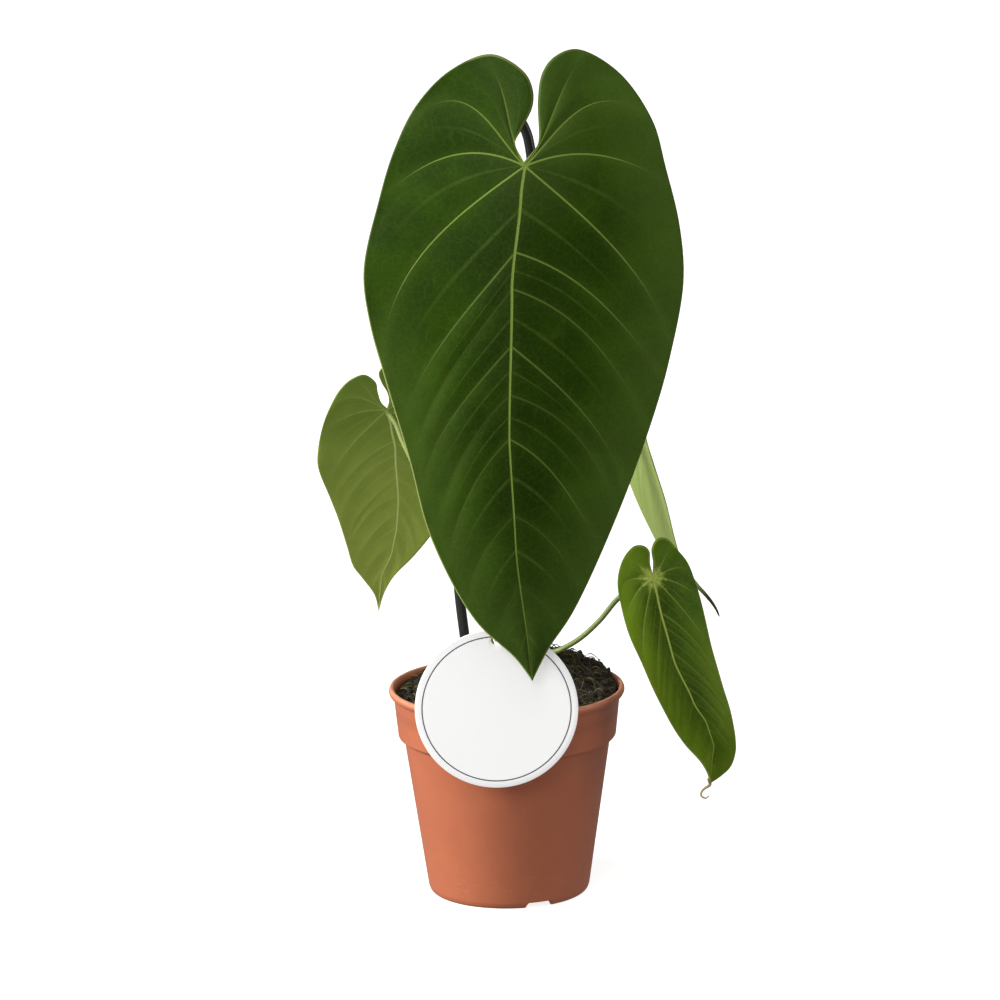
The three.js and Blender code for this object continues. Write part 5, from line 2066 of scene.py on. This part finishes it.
LEFT_LEAF = BladeShape(
    at=(-59.2, 30.5, 244.1), facing=100, lean=22, spin=0, length=128.5, bow=1, arch=5, fold=0.12,
    fold_radius=8, hook=3, quilt=0.6, wave=1, waves=5,
    left=(
        (0, -1.7), (-0.7, -5.6), (0.4, -12), (4.2, -20), (6, -28), (-1, -36), (-15, -36), (-31, -23),
        (-41, -2), (-44, 20), (-41, 44), (-35, 66), (-27.1, 81.9), (-18.8, 94.7), (-9, 107), (-4.3, 117.5),
        (-1.8, 128.5),
    ),
    right=(
        (0, -1.7), (3.1, -5.7), (5.5, -13.3), (7.2, -20.5), (13.9, -26.7), (19.7, -24.4), (25.2, -17.7),
        (29.7, -7.9), (32.8, 3.2), (34.7, 22), (34.4, 31.8), (27.1, 53.2), (21.8, 68.3), (17.1, 84.1),
        (12.9, 98.4), (8, 106.2), (0.7, 118.3), (-1.8, 128.5),
    ),
    midrib=(
        (0, 0), (-2.9, 10.4), (-6.2, 26.9), (-9.5, 61.1), (-9.4, 76.4), (-7.6, 91.5), (-2.4, 107.1),
        (-1.8, 128.5),
    ),
    rows=(12, 12, 16, 10, 7, 7, 8, 8, 10, 10, 12), columns=44,
)
BACK_LEAF = BladeShape(
    at=(49, 40, 280), facing=16, lean=14, spin=-6, length=160, bow=1, arch=5, fold=0.14, fold_radius=6,
    hook=21, quilt=0.6, wave=1, waves=5,
    left=(
        (0, -1.8), (-2.5, -8), (-2.2, -17), (-5, -26), (-14, -30), (-27, -22), (-36, -5), (-42, 18),
        (-41, 46), (-36, 75), (-27, 100), (-17, 121), (-9, 137), (-4, 147), (-1.6, 154), (0, 160),
    ),
    right=(
        (0, -1.8), (2.5, -8), (2.2, -17), (5, -26), (14, -30), (27, -22), (36, -5), (41, 18), (39, 46),
        (34, 75), (27, 100), (19, 121), (10, 136), (4, 147), (1.6, 154), (0, 160),
    ),
    midrib=((0, 0), (1, 50), (1, 110), (0, 160)),
    rows=(10, 10, 14, 10, 7, 7, 8, 8, 10, 10, 14), columns=36,
)
RIGHT_LEAF = BladeShape(
    at=(74, -30, 169.7), facing=-72, lean=8, spin=12, length=110, bow=0.6, arch=6, fold=0.38,
    fold_radius=5, hook=0, quilt=0.45, wave=0.7, waves=5,
    left=(
        (0.6, -1.9), (1.1, -6.9), (2.9, -12.6), (0.8, -16), (-3.6, -17.1), (-9.2, -13.8), (-14.5, -7.3),
        (-17.6, -0.3), (-19, 11.2), (-19.4, 25.7), (-17.3, 40.9), (-14.9, 56.4), (-11.1, 72.3), (-6.4, 86),
        (-0.8, 97.3), (1.3, 104.2), (1.7, 109.9),
    ),
    right=(
        (0.6, -1.9), (2.6, -6.5), (4.6, -13.7), (9.6, -17), (15.2, -15), (18.7, -7.9), (22, -0.2),
        (23.1, 13.5), (22.2, 29.1), (21.5, 45), (21.3, 61.2), (22, 76.4), (21, 92.6), (19.8, 99.1),
        (15.4, 105.5), (9, 108.2), (1.7, 109.9),
    ),
    midrib=(
        (0, 0), (-1.8, 19.9), (-2.1, 43.1), (2.2, 66.1), (6.5, 79.1), (7.6, 90.7), (4.4, 100.6), (1.7, 109.9),
    ),
    rows=(10, 10, 14, 10, 7, 7, 8, 8, 10, 10, 12), columns=36,
)

STALKS = (
    Stalk(
        "front_stalk", "front_leaf_petiole", FRONT_LEAF,
        route=(
            (5.9, 0.4, 111), (6.2, 1, 126), (7.3, 3, 160), (9.5, 5, 240), (13, 4, 310), (14.5, -4, 350),
            (14, -20, 369), (12.6, -33, 376),
        ),
        seat_down=4, radius=2.5, base_radius=3, knee_radius=3.1,
    ),
    Stalk(
        "left_stalk", "left_leaf_petiole", LEFT_LEAF,
        route=(
            (-3.9, 0, 111), (-5.6, 0.6, 122), (-12, 2.5, 142), (-24, 6, 171.8), (-36, 9.5, 199.5),
            (-46.5, 14.5, 221.3), (-51.4, 19, 231.1), (-54.3, 22.3, 238.5), (-57.3, 25.5, 242.4),
        ),
        seat_down=2.2, radius=1.3, base_radius=2.2, knee_radius=1.6,
    ),
    Stalk(
        "back_stalk", "back_leaf_petiole", BACK_LEAF,
        route=(
            (1, 4.9, 111), (3.5, 7, 123), (12, 7.5, 138), (24, 9, 165), (33, 16, 200), (39, 27, 240),
            (42.5, 35, 266),
        ),
        seat_down=3, radius=1.5, base_radius=2.2, knee_radius=1.9,
    ),
    Stalk(
        "right_stalk", "right_leaf_petiole", RIGHT_LEAF,
        route=(
            (1.4, -4.9, 111), (4, -7, 118.5), (12, -10, 125), (24.7, -12.5, 127.3), (28.8, -14, 129.3),
            (37.4, -17, 135.2), (47.5, -21.5, 145.7), (56.1, -25, 157), (65, -26.3, 164.5),
        ),
        seat_down=2.4, radius=1.35, base_radius=2, knee_radius=1.5,
    ),
)
BLADES = (
    Blade("front_blade", "front_leaf_blade", FRONT_LEAF),
    Blade("left_blade", "left_leaf_blade", LEFT_LEAF),
    Blade("back_blade", "back_leaf_blade", BACK_LEAF),
    Blade("right_blade", "right_leaf_blade", RIGHT_LEAF),
)


@dataclass
class DryTip(SubAssembly):
    """The thin dry thread that curls from the small right blade's tip."""

    blade: BladeShape
    route: Outline = (
        (1.7, 107.6), (1.6, 110.4), (-1.3, 111.4), (-3.4, 112.8), (-4, 114.6), (-2.3, 116.4), (-0.4, 115.8),
    )
    radius: float = 0.95
    taper: float = 0.6
    steps: int = 60
    sides: int = 10

    def build(self) -> list[Piece]:
        """Makes the curled thread, laid in the blade's own surface and tapering to its end.

        Returns:
            The piece.
        """
        flat = smooth_curve(self.route, self.steps)
        height = self.blade.height(flat[:, 0], np.minimum(flat[:, 1], self.blade.length))
        route = self.blade.place(flat[:, 0], flat[:, 1], height)
        radius = self.radius - self.taper * np.linspace(0, 1, self.steps)
        piece = make_piece("right_leaf_dry_tip", tube_surface(route, radius, self.sides, dome=True))
        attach(piece, "root")
        return [piece]


def stand(data: bpy.types.ID, axes: Array | tuple, place: Point) -> Piece:
    """Puts a camera or a light into the scene.

    Args:
        data: The camera or light.
        axes: Its right, up and backward directions as columns.
        place: Where it stands, in metres.

    Returns:
        The new object.
    """
    item = bpy.data.objects.new(data.name, data)
    matrix = np.eye(4)
    matrix[:3, :3] = axes
    matrix[:3, 3] = place
    item.matrix_world = Matrix(matrix.tolist())
    bpy.context.scene.collection.objects.link(item)
    return item


@dataclass(frozen=True)
class Lamp:
    """One square area light: its place, the point it shines at and its side in metres, its power in watts."""

    name: str
    place: Point
    aim: Point
    side: float
    watts: float
    colour: Colour

    def build(self) -> None:
        """Adds the light, its back turned away from the point it shines at."""
        data = bpy.data.lights.new(self.name, "AREA")
        data.size = self.side
        data.energy = self.watts
        data.color = self.colour
        back = np.array(self.place) - np.array(self.aim)
        back /= np.linalg.norm(back)
        right = np.cross([0.0, 0.0, 1.0], back)
        right /= np.linalg.norm(right)
        stand(data, np.stack([right, np.cross(back, right), back], 1), self.place)


LAMPS = (
    Lamp("key_light", (-1.84, -0.49, 1.05), (0, 0, 0.22), 1.0, 62.0, (1.0, 0.985, 0.96)),
    Lamp("front_fill", (-0.5, -1.9, 1.4), (0, 0, 0.2), 1.0, 11.5, (1.0, 1.0, 0.98)),
    Lamp("side_fill", (2.2, -0.4, 0.6), (0, 0, 0.2), 1.0, 7.5, (1.0, 0.99, 0.98)),
    Lamp("top_light", (0.1, -0.5, 2.2), (0, 0, 0.1), 1.4, 13.0, (1.0, 1.0, 1.0)),
)


@dataclass
class Studio:
    """Pale floor, soft lights, white surroundings and the camera at the photograph's angle."""

    camera_place: Point = (0.0, -2.888075, 0.865301)
    camera_axes: tuple[Point, Point, Point] = (
        (0.99990966, 0.01342265, 7.0997e-4),
        (-0.0023058, 0.22332562, -0.974741171),
        (-0.01324217, 0.97465148, 0.223336395),
    )
    lens: float = 210.96
    sensor: float = 36.0
    sight: float = 60.0
    floor_half: float = 6000.0
    ambient: float = 0.22

    def paper(self) -> Material:
        """The pale paper of the floor, bright enough to stay near white in a soft shadow.

        Returns:
            The material.
        """
        skin = Skin("studio_paper")
        c, shader = skin.canvas, skin.shader
        spot = c.place()
        tooth = c.fade(c.noise(spot, 30.0, 2.0), 0.3, 0.7)
        c.feed(shader.inputs["Base Color"], c.blend(tooth, (0.5, 0.5, 0.5), (0.53, 0.53, 0.53)))
        shader.inputs["Roughness"].default_value = 0.9
        shader.inputs["Emission Color"].default_value = (1, 1, 1, 1)
        c.feed(shader.inputs["Emission Strength"], c.fade(c.length(spot), 0.3, 1.6, 0.84, 1.05))
        return skin.material

    def camera(self) -> None:
        """Sets the camera."""
        data = bpy.data.cameras.new("camera")
        data.lens = self.lens
        data.sensor_width = self.sensor
        data.clip_end = self.sight
        bpy.context.scene.camera = stand(data, self.camera_axes, self.camera_place)

    def floor(self) -> None:
        """Lays the square floor, which throws no light back on the plant."""
        corners = self.floor_half * np.array([[-1, -1, 0], [1, -1, 0], [1, 1, 0], [-1, 1, 0]])
        floor = make_piece("studio_floor", Surface(corners, np.array([[0, 1, 2], [0, 2, 3]])))
        dress_piece(floor, self.paper())
        floor.visible_diffuse = False
        floor.visible_glossy = False

    def surroundings(self) -> None:
        """Makes the white world: dim as a light, and brighter by 1 where the camera sees it."""
        world = bpy.data.worlds.new("white_surroundings")
        world.use_nodes = True
        c = Canvas(world.node_tree)
        seen = c.add("ShaderNodeLightPath").outputs["Is Camera Ray"]
        backdrop = world.node_tree.nodes["Background"]
        backdrop.inputs["Color"].default_value = (1, 1, 1, 1)
        c.feed(backdrop.inputs["Strength"], c.plus(self.ambient, seen))
        bpy.context.scene.world = world

    def build(self) -> None:
        """Makes the camera, the floor, the lights and the surroundings, and shows colours unchanged."""
        self.camera()
        self.floor()
        for lamp in LAMPS:
            lamp.build()
        self.surroundings()
        bpy.context.scene.view_settings.view_transform = "Standard"


def main() -> None:
    """Loads the frame, builds and dresses every sub-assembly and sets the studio."""
    logging.basicConfig(level=logging.INFO, format="%(name)s %(message)s")
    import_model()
    grain, venation = grain_group(), Venation().build()
    Pot().dress(TerracottaFinish().make(grain))
    GrowingMix().dress(*(finish.make(grain) for finish in MIX_FINISHES))
    bark = CROWN_BARK.make(grain)
    Crown().dress(bark, bark)
    SupportHoop().dress(HOOP_COAT.make(grain))
    label = Label()
    label.dress(CardFinish().make(grain, (label.centre[0] * MM, label.centre[1] * MM)))
    Tie(label).dress(TIE_COAT.make(grain))
    for blade, leaf_finish in zip(BLADES, LEAF_FINISHES):
        blade.dress(leaf_finish.make(venation))
    for stalk, stalk_finish in zip(STALKS, STALK_FINISHES):
        stalk.dress(stalk_finish.make())
    DryTip(RIGHT_LEAF).dress(DRY_THREAD.make())
    Studio().build()
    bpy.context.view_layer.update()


if __name__ == "__main__":
    main()
